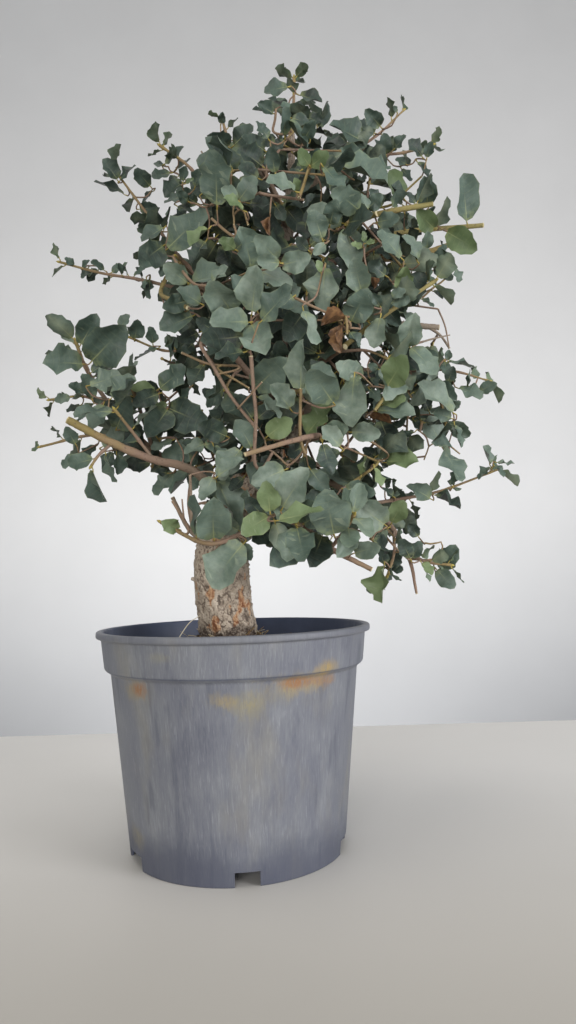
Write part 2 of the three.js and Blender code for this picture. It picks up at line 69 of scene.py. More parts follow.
# The pot.
POT_HEIGHT = 156.0
RIM_RADIUS = 100.0
BAND_RADIUS = 96.4
BODY_TOP_RADIUS = 89.6
FOOT_RADIUS = 76.6
WALL = 2.0
LIP_HEIGHT = 5.0
BAND_BOTTOM = 129.5
SHOULDER_HEIGHT = 3.0
BASE_RADIUS = 52.0
RAISED_FLOOR = 7.0
RISER = 5.0
NOTCH_TURNS = [8, 80, 152, 224, 296]
NOTCH_WIDTHS = [16, 32, 32, 32, 32]
NOTCH_HEIGHT = 9.5
NOTCH_DEPTH = 9.0
NOTCH_OUT = 1.5  # how far a notch's cutter stands out of the foot
BODY_TOP = BAND_BOTTOM - SHOULDER_HEIGHT
LIP_BOTTOM = POT_HEIGHT - LIP_HEIGHT
FLOOR_TOP = RAISED_FLOOR + WALL
BAND_DRAFT = 2.4  # how much narrower the band is at its lower edge
WALL_STEP = 0.6  # how far the inner face's corners are set off along a slope, so that the wall stays even
FLOOR_STEP = 1.2  # the same for the floor's riser
FOOT_STEP = 1.1  # the same where the wall meets the floor
LIP_CHAMFERS = (0.4, 0.2)  # under the lip and on its top
CORNER_ROUNDING = 1.4
POT_SIDES = 160

# The soil: its top, the room that it leaves to the wall, and where its crumbs and fibres lie.
SOIL_TOP = 141.0
SOIL_ROOM = 3.6
CRUMBS, CRUMB_REACH = 330, 86
FIBRES, FIBRE_REACH = 120, 82
THREAD = [[-20, -9, 167], [-25, -10, 164], [-31, -18, 160], [-36, -28, 152], [-40, -38, 144], [-44, -46, 141]]
THREAD_RADIUS = 0.34
# The wood: points on an axis, and the radius there. A limb has its points, then the radii at its ends.
TRUNK = [
    [-5, 0, 119, 19.5], [-3.5, 0, 143, 18.8], [-3.6, 0, 152, 19.8], [-7.8, 0, 180, 21],
    [-9.6, 1, 212, 18.8], [-3, 4, 240, 17.4], [18, 7, 264, 14.5], [40, 8, 288, 12], [47, 6, 322, 10],
]
LEADER = [
    [46, 7, 312, 10], [46, 4, 345, 8.4], [42, 0, 395, 6.6], [47, -3, 445, 5], [52, -1, 500, 3.4],
    [54, 0, 547, 1.9],
]
TRUNK_GRID, LEADER_GRID = (330, 150), (190, 36)  # rings along each, and corners round it
LIMBS = {
    "prunedLeft": [
        [[0, 2, 241], [-22, -38, 266], [-52, -50, 275], [-78, -58, 286], [-105, -62, 301]], 3.1, 2.6,
    ],
    "lowLeft": [[[-2, 4, 243], [-30, 12, 272], [-62, 8, 292], [-90, 0, 322]], 4.4, 1.9],
    "backLeft": [[[24, 8, 272], [-5, 45, 300], [-38, 72, 328]], 4.2, 1.8],
    "highLeft": [[[44, 4, 352], [18, 3, 374], [-18, 0, 412]], 4.2, 1.9],
    "upperLeft": [[[48, -2, 447], [20, 0, 457], [-14, -8, 484]], 3.4, 1.6],
    "topLeft": [[[52, -1, 492], [26, 0, 508], [3, 0, 530]], 2.6, 1.4],
    "topRight": [[[52, -1, 488], [82, -3, 505], [112, 0, 530]], 2.8, 1.4],
    "backTop": [[[50, -2, 470], [66, 32, 487], [78, 60, 504]], 3, 1.4],
    "frontTop": [[[49, -3, 462], [38, -38, 472], [28, -68, 480]], 3.2, 1.4],
    "frontRightTop": [[[46, -4, 438], [80, -36, 440], [110, -60, 441]], 3.4, 2.2],
    "rightTop": [[[45, -2, 425], [95, 4, 438], [140, 6, 438], [176, 4, 447]], 3.8, 2],
    "deadStub": [[[43, 0, 388], [90, 2, 388], [133, 2, 383], [163, 0, 379]], 3.4, 2.1],
    "deadTwig": [[[155, 1, 380], [164, 0, 372], [170, 0, 362]], 1.1, 0.8],
    "backMiddle": [[[43, 2, 372], [28, 45, 386], [12, 82, 402]], 4, 1.8],
    "rightMiddle": [[[46, 6, 326], [85, 0, 344], [150, 0, 347], [171, 0, 356]], 4.2, 0.9],
    "frontRight": [[[45, 2, 346], [62, -36, 340], [84, -68, 344]], 3.6, 2],
    "backRight": [[[45, 8, 318], [85, 46, 334], [114, 74, 350]], 4.2, 1.8],
    "frontMiddle": [[[44, 4, 318], [24, -45, 326], [6, -80, 342]], 4, 1.8],
    "frontPale": [[[40, 6, 290], [64, -52, 286], [54, -98, 277], [17, -112, 265]], 2.3, 1.4],
    "backLow": [[[34, 8, 282], [58, 48, 284], [74, 88, 288]], 4.4, 1.8],
    "rightLow": [[[36, 8, 284], [72, -8, 262], [112, -20, 230], [128, -20, 203], [133, -20, 176]], 3.2, 0.9],
    "frontLow": [[[10, 4, 254], [38, -34, 240], [66, -58, 212], [97, -60, 194]], 2.9, 1.6],
    "leftStub": [[[-16, 0, 214], [-31, -10, 228], [-43, -11, 252]], 2.1, 1.4],
    "leftStubTwig": [[[-28, -8, 225], [-31, -11, 246], [-29, -10, 268]], 1.4, 1],
    "leftKnot": [[[-20, 0, 190], [-31.5, -2, 191.5]], 3.6, 0.9],
}
# How old the bark of a limb looks at its root and at its end: 0 is this year's wood and 1 is old bark.
LIMB_AGES = {
    "prunedLeft": (0.95, 0.2), "frontRightTop": (0.6, 0.1), "rightTop": (0.7, 0.2),
    "frontLow": (0.9, 0.45), "frontPale": (0.7, 0.45), "deadStub": (1, 1), "deadTwig": (1, 1),
    "leftStub": (1, 0.8), "leftKnot": (1.8, 1.8),
}
LIMB_AGE = (0.9, 0.5)
CUT_FROM = 0.992  # the share of a cut stem where its pale end begins

# Leafy shoots of the frame: points on the stem, radii at its ends, leaves along it, leaves in its tuft, and
# the largest leaf.
SHOOTS = {
    "top": [[[54, 0, 541], [56, 0, 562], [57, -1, 586]], 1.5, 0.8, 3, 4, 19],
    "top_left_stub": [[[6, 0, 527], [2, 0, 541], [-1, 0, 555]], 1.3, 1, 2, 1, 12],
    "top_right": [[[108, 0, 527], [125, 1, 540], [143, 1, 557]], 1.2, 0.6, 3, 1, 16],
    "right_cluster": [[[104, 0, 522], [136, -6, 517], [164, -4, 525]], 1.4, 0.8, 3, 2, 18],
    "upper_left": [[[-10, -7, 480], [-24, -14, 504], [-48, -16, 523]], 1.5, 0.9, 3, 3, 18],
    "far_left_up": [[[-14, 0, 408], [-40, 0, 446], [-62, 0, 478], [-88, 0, 516]], 1.6, 0.8, 4, 2, 19],
    "left_dark": [[[-8, -1, 402], [-30, -8, 432], [-50, -10, 446]], 1.5, 1, 3, 2, 31],
    "left_long": [[[-17, 2, 411], [-67, 3, 425], [-98, 2, 431], [-130, 0, 440]], 1.5, 0.8, 4, 2, 14],
    "left_high": [[[10, 2, 380], [-24, 12, 374], [-50, 10, 370], [-78, 8, 381]], 1.5, 0.8, 3, 2, 15],
    "left_middle": [[[-87, 1, 318], [-108, -2, 352], [-117, -3, 376]], 1.8, 1.2, 4, 3, 28],
    "left_outer": [[[-90, 1, 321], [-112, 5, 334], [-139, 4, 332]], 1.3, 0.7, 3, 2, 15],
    "left_low": [[[-70, 6, 298], [-105, 2, 303], [-145, 1, 295]], 1.4, 0.9, 4, 1, 18],
    "left_inner": [[[-60, 8, 291], [-66, -12, 318], [-72, -22, 338]], 1.5, 1, 3, 3, 26],
    "left_front": [[[-50, -50, 275], [-62, -56, 292], [-72, -66, 306]], 1.3, 0.9, 2, 2, 27],
    "left_hanging": [[[-76, -57, 285], [-84, -62, 276], [-88, -66, 268]], 1.2, 0.8, 2, 1, 24],
    "right_cut_upper": [[[106, -57, 441], [128, -61, 443], [149, -61, 446]], 2.1, 1.8, 3, 0, 24],
    "right_cut_long": [[[90, 3, 437], [130, -8, 451], [199, -8, 456]], 2, 1.8, 3, 0, 26],
    "right_yellow": [[[80, -64, 343], [112, -66, 366], [150, -54, 394]], 1.9, 1.2, 4, 3, 25],
    "right_outer": [[[138, 0, 347], [170, -8, 342], [198, -6, 334]], 1.2, 0.6, 4, 2, 16],
    "right_droop": [[[118, 0, 346], [150, -24, 326], [158, -30, 296]], 1.5, 0.9, 4, 2, 26],
    "right_long": [[[98, -14, 242], [124, -6, 246], [158, -4, 252], [202, -4, 267]], 1.6, 0.7, 4, 2, 20],
    "right_bottom": [[[126, -20, 207], [140, -22, 199], [158, -22, 196]], 1.4, 0.8, 4, 2, 17],
    "right_bottom_front": [[[118, -21, 222], [116, -34, 206], [110, -40, 190]], 1.2, 0.8, 2, 2, 23],
    "front_yellow": [[[36, -33, 240], [8, -76, 218], [-12, -82, 214], [-39, -84, 228]], 1.7, 1.2, 4, 0, 30],
    "front_bottom": [[[52, -47, 226], [50, -76, 224], [47, -98, 223]], 1.6, 1, 3, 3, 27],
    "front_bottom_right": [[[70, -58, 209], [78, -74, 219], [84, -88, 229]], 1.4, 1, 2, 3, 23],
}
SHOOT_AGES = {"right_cut_upper": (0.15, 0.05), "right_cut_long": (0.3, 0.05), "right_yellow": (0.2, 0.1)}
SHOOT_AGE = (0.75, 0.3)
CUT_SHOOTS = ("right_cut_upper", "right_cut_long")

# The egg that the crown fills, and the frame's shoots that are placed on it by rule.
FILL_COUNT = 29
CROWN_CENTRE = np.array([50.0, -4.0, 378.0])
CROWN_RADII = np.array([92.0, 98.0, 162.0])
FILL_RADII = (1.6, 1)
FILL_LEAVES = (0, 3)
FILL_LEAF = (28, 35)
# Each of them forks once: where the side twig leaves it, as share of the shoot, and how far its tip lies from
# the shoot's tip, as a turn round the egg and as a drop in shares of half its height.
FORK_AT = 0.45
FORK_TURN = 0.75
FORK_DROP = 0.06
FORK_RADII = (1.2, 0.9)
FORK_LEAVES = (0, 2)
FILL_STEM = 0.75  # how thick their stems are drawn, as share of the frame's
GOLDEN_TURN = math.pi * (3 - math.sqrt(5))
LIMB_SHARES = (0.45, 0.6, 0.75, 0.88)

# A blade: its middle surface is the frame's own, and its outline follows the frame's with teeth.
BLADE_THICKNESS = 0.72  # of the frame's blades
SLENDERNESS = 0.35
STALK = 3.2
# The tries for a leaf that would touch another: turned by, tilted by, and its length times.
TRIES = [
    (0, 0, 1), (0.6, 0.1, 1), (-0.6, 0.1, 1), (1.2, -0.2, 0.9), (-1.2, -0.2, 0.9), (2, 0.2, 0.8),
    (-2, 0.2, 0.8), (3.1, 0, 0.7),
]
BLADE_ROWS = np.array([0.04, 0.15, 0.27, 0.4, 0.53, 0.66, 0.79, 0.91])
BLADE_COLUMNS = np.array([-1.0, -0.5, 0.0, 0.5, 1.0])
SIDE_VEINS = 7
# Painted shade on the top leaves and painted light on the low ones: how much darker and lighter their tone
# is made, and the heights where that comes in.
TOP_PAINTED_SHADE, TOP_SPAN = 0.6, (390, 500)
LOW_PAINTED_LIGHT, LOW_SPAN = 0.25, (290, 370)
PALEST = 0.8  # the palest tone that a leaf takes, from 0 to 1
# Painted shade in crown hollows: where the middle is, how wide it is, and how much darker the leaves in it
# are.
PAINTED_HOLLOW_SHADES = [
    ((34, -46, 434), 32, 0.8), ((90, -40, 425), 18, 0.6), ((2, -40, 424), 16, 0.6), ((70, -50, 345), 16, 0.6),
]
# Painted shade on the filling leaves, darker deep in the crown.
INNER_PAINTED_SHADES = (0.1, 1.0)  # of the filling leaves, from deep in the crown to its surface
MATCH = 0.2  # how near a corner of the frame's mesh has to be to count as a blade's tip


def camera_axes():
    """Right, up and forward of the camera, which looks along +Y, pitched up and rolled."""
    forward = np.array([0, math.cos(PITCH), math.sin(PITCH)])
    level = np.array([0, -math.sin(PITCH), math.cos(PITCH)])
    right = math.cos(ROLL) * X + math.sin(ROLL) * level
    return right, math.cos(ROLL) * level - math.sin(ROLL) * X, forward


RIGHT, UP, FORWARD = camera_axes()


def unit(v):
    """The vector divided by its length."""
    return v / np.maximum(np.linalg.norm(v, axis=-1, keepdims=True), 1e-9)


def eased(low, high, x):
    """0 below low, 1 above high, and a smooth S between: three times the square of the share of the way, less
    twice its cube."""
    t = np.clip((x - low) / (high - low), 0, 1)
    return t * t * (3 - 2 * t)


def blended(pair, t):
    """The value a share t of the way from the pair's first to its second."""
    return pair[0] + (pair[1] - pair[0]) * t


# Random draws and noise


def draws_from(seed):
    """Endless values from 0 to 1: each step adds a constant to the state and mixes its bits."""
    state = seed
    while True:
        state = (state + 0x6D2B79F5) & 0xFFFFFFFF
        t = ((state ^ (state >> 15)) * (state | 1)) & 0xFFFFFFFF
        t ^= (t + ((t ^ (t >> 7)) * (t | 61))) & 0xFFFFFFFF
        yield ((t ^ (t >> 14)) & 0xFFFFFFFF) / 4294967296


def lattice_value(cell, seed):
    """A fixed random value from 0 to 1 for each whole-number cell."""
    cell = np.atleast_2d(cell)
    h = cell[..., 0] * 374761393 + cell[..., 1] * 668265263 + cell[..., 2] * 1440662683 + seed * 974634777
    h = (h ^ (h >> 13)) * 1274126177
    h = (h ^ (h >> 16)) & 0xFFFFFF
    return h / 0xFFFFFF


def noise(points, seed=0):
    """Smooth noise from -1 to 1: the lattice's random values blended across each cell."""
    points = np.atleast_2d(points)
    base = np.floor(points).astype(np.int64)
    part = points - base
    part = part * part * (3 - 2 * part)
    total = np.zeros(points.shape[:-1])
    for corner in itertools.product((0, 1), repeat=3):
        weight = np.prod(np.where(corner, part, 1 - part), axis=-1)
        total += weight * lattice_value(base + np.array(corner), seed)
    return 2 * total - 1


def layered_noise(points, layers, seed=0):
    """Noise at doubling scales and halving heights, added up."""
    return sum(noise(points * 2**k, seed + k) / 2**k for k in range(layers))


def plate_edges(points, seed=0):
    """One random point in each cell; the value is how much farther the second nearest is than the nearest."""
    base = np.floor(points).astype(np.int64)
    nearest = np.full(points.shape[:-1], 9.0)
    second = nearest.copy()
    for step in itertools.product((-1, 0, 1), repeat=3):
        cell = base + np.array(step)
        spot = cell + np.stack([lattice_value(cell, seed + k) for k in range(3)], axis=-1)
        distance = np.linalg.norm(spot - points, axis=-1)
        second = np.minimum(second, np.maximum(nearest, distance))
        nearest = np.minimum(nearest, distance)
    return second - nearest


# Curves and their frames


def path_length(points):
    """The distances from each point to the next, added up."""
    return np.linalg.norm(np.diff(np.asarray(points, float), axis=0), axis=1).sum()


def steps_along(points, step=3.0, least=5):
    """Even shares of a path from 0 to 1, about a step apart and at least so many."""
    return np.linspace(0, 1, max(least, int(path_length(points) / step)))


def coordinates(x, y, z):
    """Points from their coordinates, each spread over the shape of the others."""
    return np.stack(np.broadcast_arrays(x, y, z), -1)


def curve_at(points, t):
    """Catmull-Rom: each span is a cubic through its two points. The slope at a point is half the way from the
    point before it to the one after."""
    points = np.asarray(points, float)
    t = np.asarray(t, float)
    padded = np.vstack([2 * points[0] - points[1], points, 2 * points[-1] - points[-2]])
    place = t * (len(points) - 1)
    i = np.minimum(np.floor(place), len(points) - 2).astype(int)
    w = (place - i)[..., None]
    before, start, end, after = padded[i], padded[i + 1], padded[i + 2], padded[i + 3]
    leave, arrive = (end - before) / 2, (after - start) / 2
    return (
        (2 * w**3 - 3 * w**2 + 1) * start + (w**3 - 2 * w**2 + w) * leave
        + (3 * w**2 - 2 * w**3) * end + (w**3 - w**2) * arrive
    )


def steady_axis(points):
    """The world axis most square to a stem."""
    points = np.asarray(points, float)
    return np.eye(3)[np.argmin(np.abs(points[-1] - points[0]))]


def stem_frame(points, t):
    """A place on a stem, its direction there, and two directions square to it."""
    along = unit(curve_at(points, min(t + 0.01, 1)) - curve_at(points, max(t - 0.01, 0)))
    side = unit(np.cross(along, steady_axis(points)))
    return curve_at(points, t), along, side, np.cross(side, along)


def ring_turns(sides):
    """The angles of a ring's corners, evenly spaced."""
    return np.arange(sides) * TAU / sides


def ring_ways(path, sides):
    """For each point of a path, the directions from it to a ring of corners square to the path."""
    along = unit(np.gradient(path, axis=0))
    side = unit(np.cross(along, steady_axis(path)))
    up = np.cross(side, along)
    angle = ring_turns(sides)
    return np.cos(angle)[:, None] * side[:, None] + np.sin(angle)[:, None] * up[:, None]


# Meshes


def in_scene(name, data):
    """A new object with this data, at the origin."""
    made = bpy.data.objects.new(name, data)
    bpy.context.scene.collection.objects.link(made)
    return made


def smooth(mesh, sharp_from=None):
    """Rounds a mesh's shading, except where an edge turns by more than sharp_from degrees."""
    mesh.polygons.foreach_set("use_smooth", np.ones(len(mesh.polygons), bool))
    if sharp_from:
        mesh.set_sharp_from_angle(angle=math.radians(sharp_from))


CORNER_VALUES = ("along", "across", "under", "tone", "young", "dead", "age", "cut", "crack")


class Surface:
    """Gathers grids of corners into one mesh. Each corner has named values, and each face a finish."""

    def __init__(self):
        self.corners, self.quads, self.triangles = [], [], []
        self.quad_finish, self.triangle_finish = [], []
        self.values = {name: [] for name in CORNER_VALUES}
        self.count = 0

    def add(self, corners, quads=(), triangles=(), finish=0, **values):
        """Faces are numbers of these corners, and are shifted by the number of corners that are there."""
        corners = corners.reshape(-1, 3)
        self.corners.append(corners)
        for faces, kept, finishes in (
            (quads, self.quads, self.quad_finish), (triangles, self.triangles, self.triangle_finish)
        ):
            if len(faces):
                kept.append(np.asarray(faces) + self.count)
                finishes.append(np.full(len(faces), finish))
        for name in CORNER_VALUES:
            value = np.asarray(values.get(name, 0.0), float)
            self.values[name].append(np.broadcast_to(value, (len(corners),)).astype(np.float32))
        self.count += len(corners)

    def piece(self, name, materials, sharp_from=None):
        """Makes the mesh and its object, in metres."""
        quads = np.concatenate(self.quads).tolist() if self.quads else []
        triangles = np.concatenate(self.triangles).tolist() if self.triangles else []
        mesh = bpy.data.meshes.new(name)
        mesh.from_pydata(np.concatenate(self.corners) * MM, [], quads + triangles)
        finishes = np.concatenate(self.quad_finish + self.triangle_finish).astype(np.int32)
        mesh.polygons.foreach_set("material_index", finishes)
        for value_name in CORNER_VALUES:
            value = np.concatenate(self.values[value_name])
            if value.any():
                mesh.attributes.new(value_name, "FLOAT", "POINT").data.foreach_set("value", value)
        for material in materials:
            mesh.materials.append(material)
        mesh.update()
        smooth(mesh, sharp_from)
        return in_scene(name, mesh)


def ring_faces(rings, sides):
    """Faces of a closed tube whose rings follow each other, then fans on the two end centres."""
    ring, side = np.meshgrid(np.arange(rings - 1), np.arange(sides), indexing="ij")
    a, b = ring * sides + side, ring * sides + (side + 1) % sides
    quads = np.stack([a, a + sides, b + sides, b], axis=-1).reshape(-1, 4)
    k = np.arange(sides)
    after = (k + 1) % sides
    first, last = rings * sides, (rings - 1) * sides
    start = np.stack([np.full(sides, first), k, after], axis=-1)
    end = np.stack([np.full(sides, first + 1), last + after, last + k], axis=-1)
    return quads, np.vstack([start, end])


def add_tube(surface, path, radii, sides, finish=0, lumps=1.0, **values):
    """A closed tube: a ring of corners square to the path at each of its points. lumps scales each corner's
    radius. Values are for each point of the path or each corner. An end's centre takes its ring's mean."""
    path = np.asarray(path, float)
    rings = len(path)
    radii = np.broadcast_to(np.asarray(radii, float), (rings,))[:, None] * lumps
    ring = path[:, None] + radii[..., None] * ring_ways(path, sides)
    corners = np.vstack([ring.reshape(-1, 3), path[:1], path[-1:]])
    spread = {}
    for name, value in values.items():
        value = np.asarray(value, float)
        if value.ndim < 2:
            value = np.broadcast_to(np.broadcast_to(value, (rings,))[:, None], (rings, sides))
        spread[name] = np.r_[value.ravel(), value[0].mean(), value[-1].mean()]
    surface.add(corners, *ring_faces(rings, sides), finish, **spread)


def add_blob(surface, centre, wide, tall, seed, **values):
    """A small rounded grain: a ball of rings pulled in and out by noise."""
    rings, sides, open_end = 5, 7, 0.35
    height = np.cos(np.linspace(open_end, math.pi - open_end, rings))
    path = np.array(centre) + np.outer(height * tall, Z)
    angle = ring_turns(sides)
    spots = coordinates(np.cos(angle) * 1.7 + seed, np.sin(angle) * 1.7, 2 * height[:, None])
    lumps = 1 + 0.28 * noise(spots, seed)
    add_tube(surface, path, np.sqrt(1 - height**2) * wide, sides, lumps=lumps, **values)


# Leaves

LEAF, WOOD = 0, 1  # the finishes of a piece with leaves
LEAF_SHARP_FROM = 130


class Blade:
    """A leaf's place and form: its axis, across it, its upper face, and how far it folds and bends."""

    def __init__(self, at, axis, across, face, length, fold, bend, tone, young=0.0, dead=0.0, stalk=STALK):
        self.at, self.axis, self.across, self.face = at, axis, across, face
        self.length, self.fold, self.bend, self.stalk = length, fold, bend, stalk
        self.tone, self.young, self.dead = tone, young, dead
        # shade is painted shade on the top leaves and painted light on the low ones; it multiplies the tone.
        self.shade = 1 - TOP_PAINTED_SHADE * eased(*TOP_SPAN, at[2]) + LOW_PAINTED_LIGHT * (1 - eased(*LOW_SPAN, at[2]))

    def surface(self, u, v, fine=True):
        """A point of the middle surface: u runs along the blade and v across it, in half widths. The blade
        folds up along its midrib, droops with the square of u and ripples along its edges. A fine one also
        bulges between midrib and edge, twists, sweeps to one side and has waves along its edges."""
        half = self.length * SLENDERNESS * (0.9 + 0.25 * self.bend)
        wide = np.abs(v)
        droop = self.length * u * u * 0.3 * (self.bend - 0.35)
        out = self.stalk + self.length * u
        if fine:
            first, second, third = ((self.tone * k) % 1 for k in (17.3, 31.7, 53.9))
            waves = np.sin(TAU * (1.1 + 1.2 * first) * u + TAU * second + np.where(v > 0, 2.3, 0.0))
            twist = 1.5 * (second - 0.5) * (u - 0.15)
            sweep = self.length * 0.14 * (third - 0.5) * u * u
            sideways = half * v * (1 - 0.45 * self.dead) * np.cos(twist) + sweep
            rise = half * wide**0.72 * (0.08 + 0.65 * self.fold) - droop + self.dead * half * 1.1 * wide**2
            rise = rise + half * wide**1.4 * (0.2 + 0.3 * third) * waves + half * v * np.sin(twist)
        else:
            ripple = half * 0.12 * wide * np.sin(9 * u + 6 * self.fold + np.where(v > 0, 2.0, 0.0))
            sideways = half * v
            rise = half * wide * (0.15 + 0.4 * self.fold) - droop + ripple
        parts = zip((out, sideways, rise), (self.axis, self.across, self.face))
        return sum((amount[..., None] * way for amount, way in parts), self.at)


def painted_hollow_shade(at):
    """The painted shade on a leaf of the crown: 1 outside the hollows, and less towards the middle of each.
    """
    shade = 1.0
    for middle, width, darker in PAINTED_HOLLOW_SHADES:
        shade *= 1 - darker * math.exp(-(np.linalg.norm(at - np.array(middle)) / width) ** 2)
    return shade


def blade_width(u):
    """Half width along a blade, from 0 to 1: a sine arch pushed towards the stalk and filled out."""
    return np.maximum(np.sin(np.clip(math.pi * u**0.9, 0, math.pi)), 0) ** 0.6


def blade_faces():
    """Faces of a blade as a thin lens: an upper grid, and below it one corner a row under the midrib, joined
    to the upper grid's edges. Both close in one corner at the stalk and one at the tip."""
    rows, columns = len(BLADE_ROWS), len(BLADE_COLUMNS)
    row, column = np.meshgrid(np.arange(rows - 1), np.arange(columns - 1), indexing="ij")
    a = (row * columns + column).ravel()
    k = np.arange(rows - 1)
    left, under, right = k * columns, rows * columns + k, k * columns + columns - 1
    quads = [
        (a, a + columns, a + columns + 1, a + 1), (left, under, under + 1, left + columns),
        (under, right, right + columns, under + 1),
    ]
    middle = rows * columns
    base, tip = middle + rows, middle + rows + 1
    last, j = (rows - 1) * columns, np.arange(columns - 1)
    fans = [(np.full(columns - 1, base), j, j + 1), (np.full(columns - 1, tip), last + j + 1, last + j)]
    closing = [
        (base, middle, 0), (base, columns - 1, middle),
        (tip, last, middle + rows - 1), (tip, middle + rows - 1, last + columns - 1),
    ]
    quads, fans = (np.vstack([np.stack(corners, axis=-1) for corners in faces]) for faces in (quads, fans))
    return quads, np.vstack([fans, closing])


BLADE_QUADS, BLADE_ENDS = blade_faces()
GRID_U, GRID_V = (grid.ravel() for grid in np.meshgrid(BLADE_ROWS, BLADE_COLUMNS, indexing="ij"))
BLADE_U = np.r_[GRID_U, BLADE_ROWS, 0.0, 1.0]
BLADE_V = np.r_[GRID_V, np.zeros(len(BLADE_ROWS) + 2)]
BLADE_UNDER = np.r_[np.zeros(len(GRID_U)), np.ones(len(BLADE_ROWS)), 0.5, 0.5]
ROW_WAY = np.where(np.searchsorted(BLADE_ROWS, BLADE_U) % 2 == 1, 1.0, -1.0) * (BLADE_V != 0)


def add_blade(surface, blade):
    """A leaf: a thin blade with blunt uneven teeth, a groove along its midrib, and a stalk."""
    tooth = (0.02 + 0.045 * ((blade.tone * 7.3) % 1)) * (1 - 0.6 * blade.young)
    uneven = 0.07 * np.sin(9 * BLADE_U + 40 * blade.tone + 2 * BLADE_V)
    outline = blade_width(BLADE_U) * (1 + tooth * ROW_WAY + uneven * np.abs(BLADE_V))
    forward = 0.02 * ROW_WAY * np.abs(BLADE_V)
    middle = blade.surface(BLADE_U + forward, BLADE_V * outline)
    inner = (np.abs(BLADE_V) < 1) * blade_width(BLADE_U)
    thick = np.where(BLADE_UNDER == 1, -0.42, np.where(BLADE_V == 0, 0.06, 0.22)) * inner
    kind = {"young": blade.young, "dead": blade.dead}
    # The tone carries the leaf's own tone times its painted shade and light.
    tone = min(blade.tone * blade.shade, PALEST)
    looks = {"along": BLADE_U, "across": BLADE_V, "under": BLADE_UNDER, "tone": tone, **kind}
    surface.add(middle + thick[:, None] * blade.face, BLADE_QUADS, BLADE_ENDS, LEAF, **looks)
    root = blade.surface(np.array([0.06]), np.array([0.0]))[0] - 0.15 * blade.face
    bow = (blade.at + root) / 2 - 0.3 * blade.face
    add_tube(surface, [blade.at, bow, root], [0.6, 0.5, 0.3], 3, LEAF, along=-1.0, tone=blade.tone, **kind)


def branches_of(shoot):
    """A shoot's own stem, then its side twig if it has one."""
    return [shoot, *shoot[6:]]


def leaf_places(shoot, draws):
    """Where a stem's leaves stand: spiralling along it, then in a ring at its tip. Each has its share of the
    stem, turn, lean and length, three draws for its form, and whether it is in the tuft."""
    along, tuft, largest = shoot[3:6]
    places = []
    for i in range(along + tuft):
        d = [next(draws) for _ in range(7)]
        in_tuft = i >= along
        t = 0.9 + 0.09 * (i - along + 1) / tuft if in_tuft else 0.25 + 0.6 * (i + 0.6 * d[0]) / along
        turn = (i - along) / tuft * TAU + d[1] if in_tuft else i * 2.4 + d[1]
        lean = 0.75 + 0.5 * d[2] if in_tuft else 1 + 0.35 * d[2]
        length = largest * (0.62 + 0.36 * d[3] if in_tuft else 0.7 + 0.3 * d[3])
        places.append((t, turn, lean, length, d[4], d[5], d[6], in_tuft))
    return places


def blade_on(points, place, change):
    """A leaf on a stem: tilted out from it, its upper face turned up and away from the crown's middle."""
    t, turn, lean, length, fold, bend, light, in_tuft = place
    at, along, side, up = stem_frame(points, t)
    angle, tilt = turn + change[0], lean + change[1]
    out = side * math.cos(angle) + up * math.sin(angle)
    axis = along * math.cos(tilt) + out * math.sin(tilt)
    sky = at - CROWN_CENTRE
    sky[2] = 0
    sky = unit(sky) + 0.9 * Z
    face = along * math.sin(tilt) - out * math.cos(tilt) + sky * (0.5 + 0.9 * light)
    face = unit(face - axis * (face @ axis))
    tone = (7.13 * light + 3.7 * turn + 1.9 * bend) % 1
    young = float(np.clip((21 - length) / 16, 0, 1)) * (0.75 if in_tuft else 0.45)
    return Blade(at, axis, np.cross(face, axis), face, length * change[2], fold, bend, tone, young)


def blade_in_frame(points, place, corners):
    """The try that the frame used for a leaf, found by its tip among the corners of the frame's mesh."""
    for change in TRIES:
        blade = blade_on(points, place, change)
        tip = blade.surface(np.array([1.0]), np.array([0.0]), fine=False) + blade.face * BLADE_THICKNESS / 2
        if np.linalg.norm(corners - tip, axis=1).min() < MATCH:
            return blade
    return None


# Room among the leaves


ROOM_LOW = np.array([-170.0, -150.0, 120.0])
ROOM_CELL = 2.0
ROOM_SIZE = (210, 150, 250)


class Room:
    """Which small cells round the tree are taken, to keep a new leaf clear of the others."""

    def __init__(self):
        self.taken = np.zeros(ROOM_SIZE, bool)

    def cells(self, points):
        """The cell of each point: its distance from the low corner in cells, rounded down."""
        cell = ((points.reshape(-1, 3) - ROOM_LOW) / ROOM_CELL).astype(int)
        return cell[((cell >= 0) & (cell < ROOM_SIZE)).all(axis=1)]

    def take(self, points):
        """Marks the cells of these points as taken."""
        self.taken[tuple(self.cells(points).T)] = True

    def is_free(self, points):
        """Whether no cell of these points is taken."""
        return not self.taken[tuple(self.cells(points).T)].any()


SPOT_U, SPOT_V = np.meshgrid(np.linspace(0, 1, 15), np.linspace(-1, 1, 11), indexing="ij")


def blade_spots(blade, first=0.3, gap=0.0):
    """Points all over a blade from a share of its length outwards, and also a gap above and below it."""
    u = first + (1 - first) * SPOT_U
    spots = blade.surface(u, SPOT_V * blade_width(u))
    return np.concatenate([(spots + layer * blade.face).reshape(-1, 3) for layer in sorted({-gap, 0.0, gap})])


def tube_spots(path, radii):
    """Points along the middle of a stem and along six lines on it."""
    path = np.asarray(path, float)
    steps = steps_along(path, 1.5, 4)
    where = curve_at(path, steps)
    radius = np.interp(steps, np.linspace(0, 1, len(radii)), radii)[:, None]
    return np.concatenate([where] + [where + radius * way for way in (X, -X, Y, -Y, Z, -Z)])


# Stems and shoots


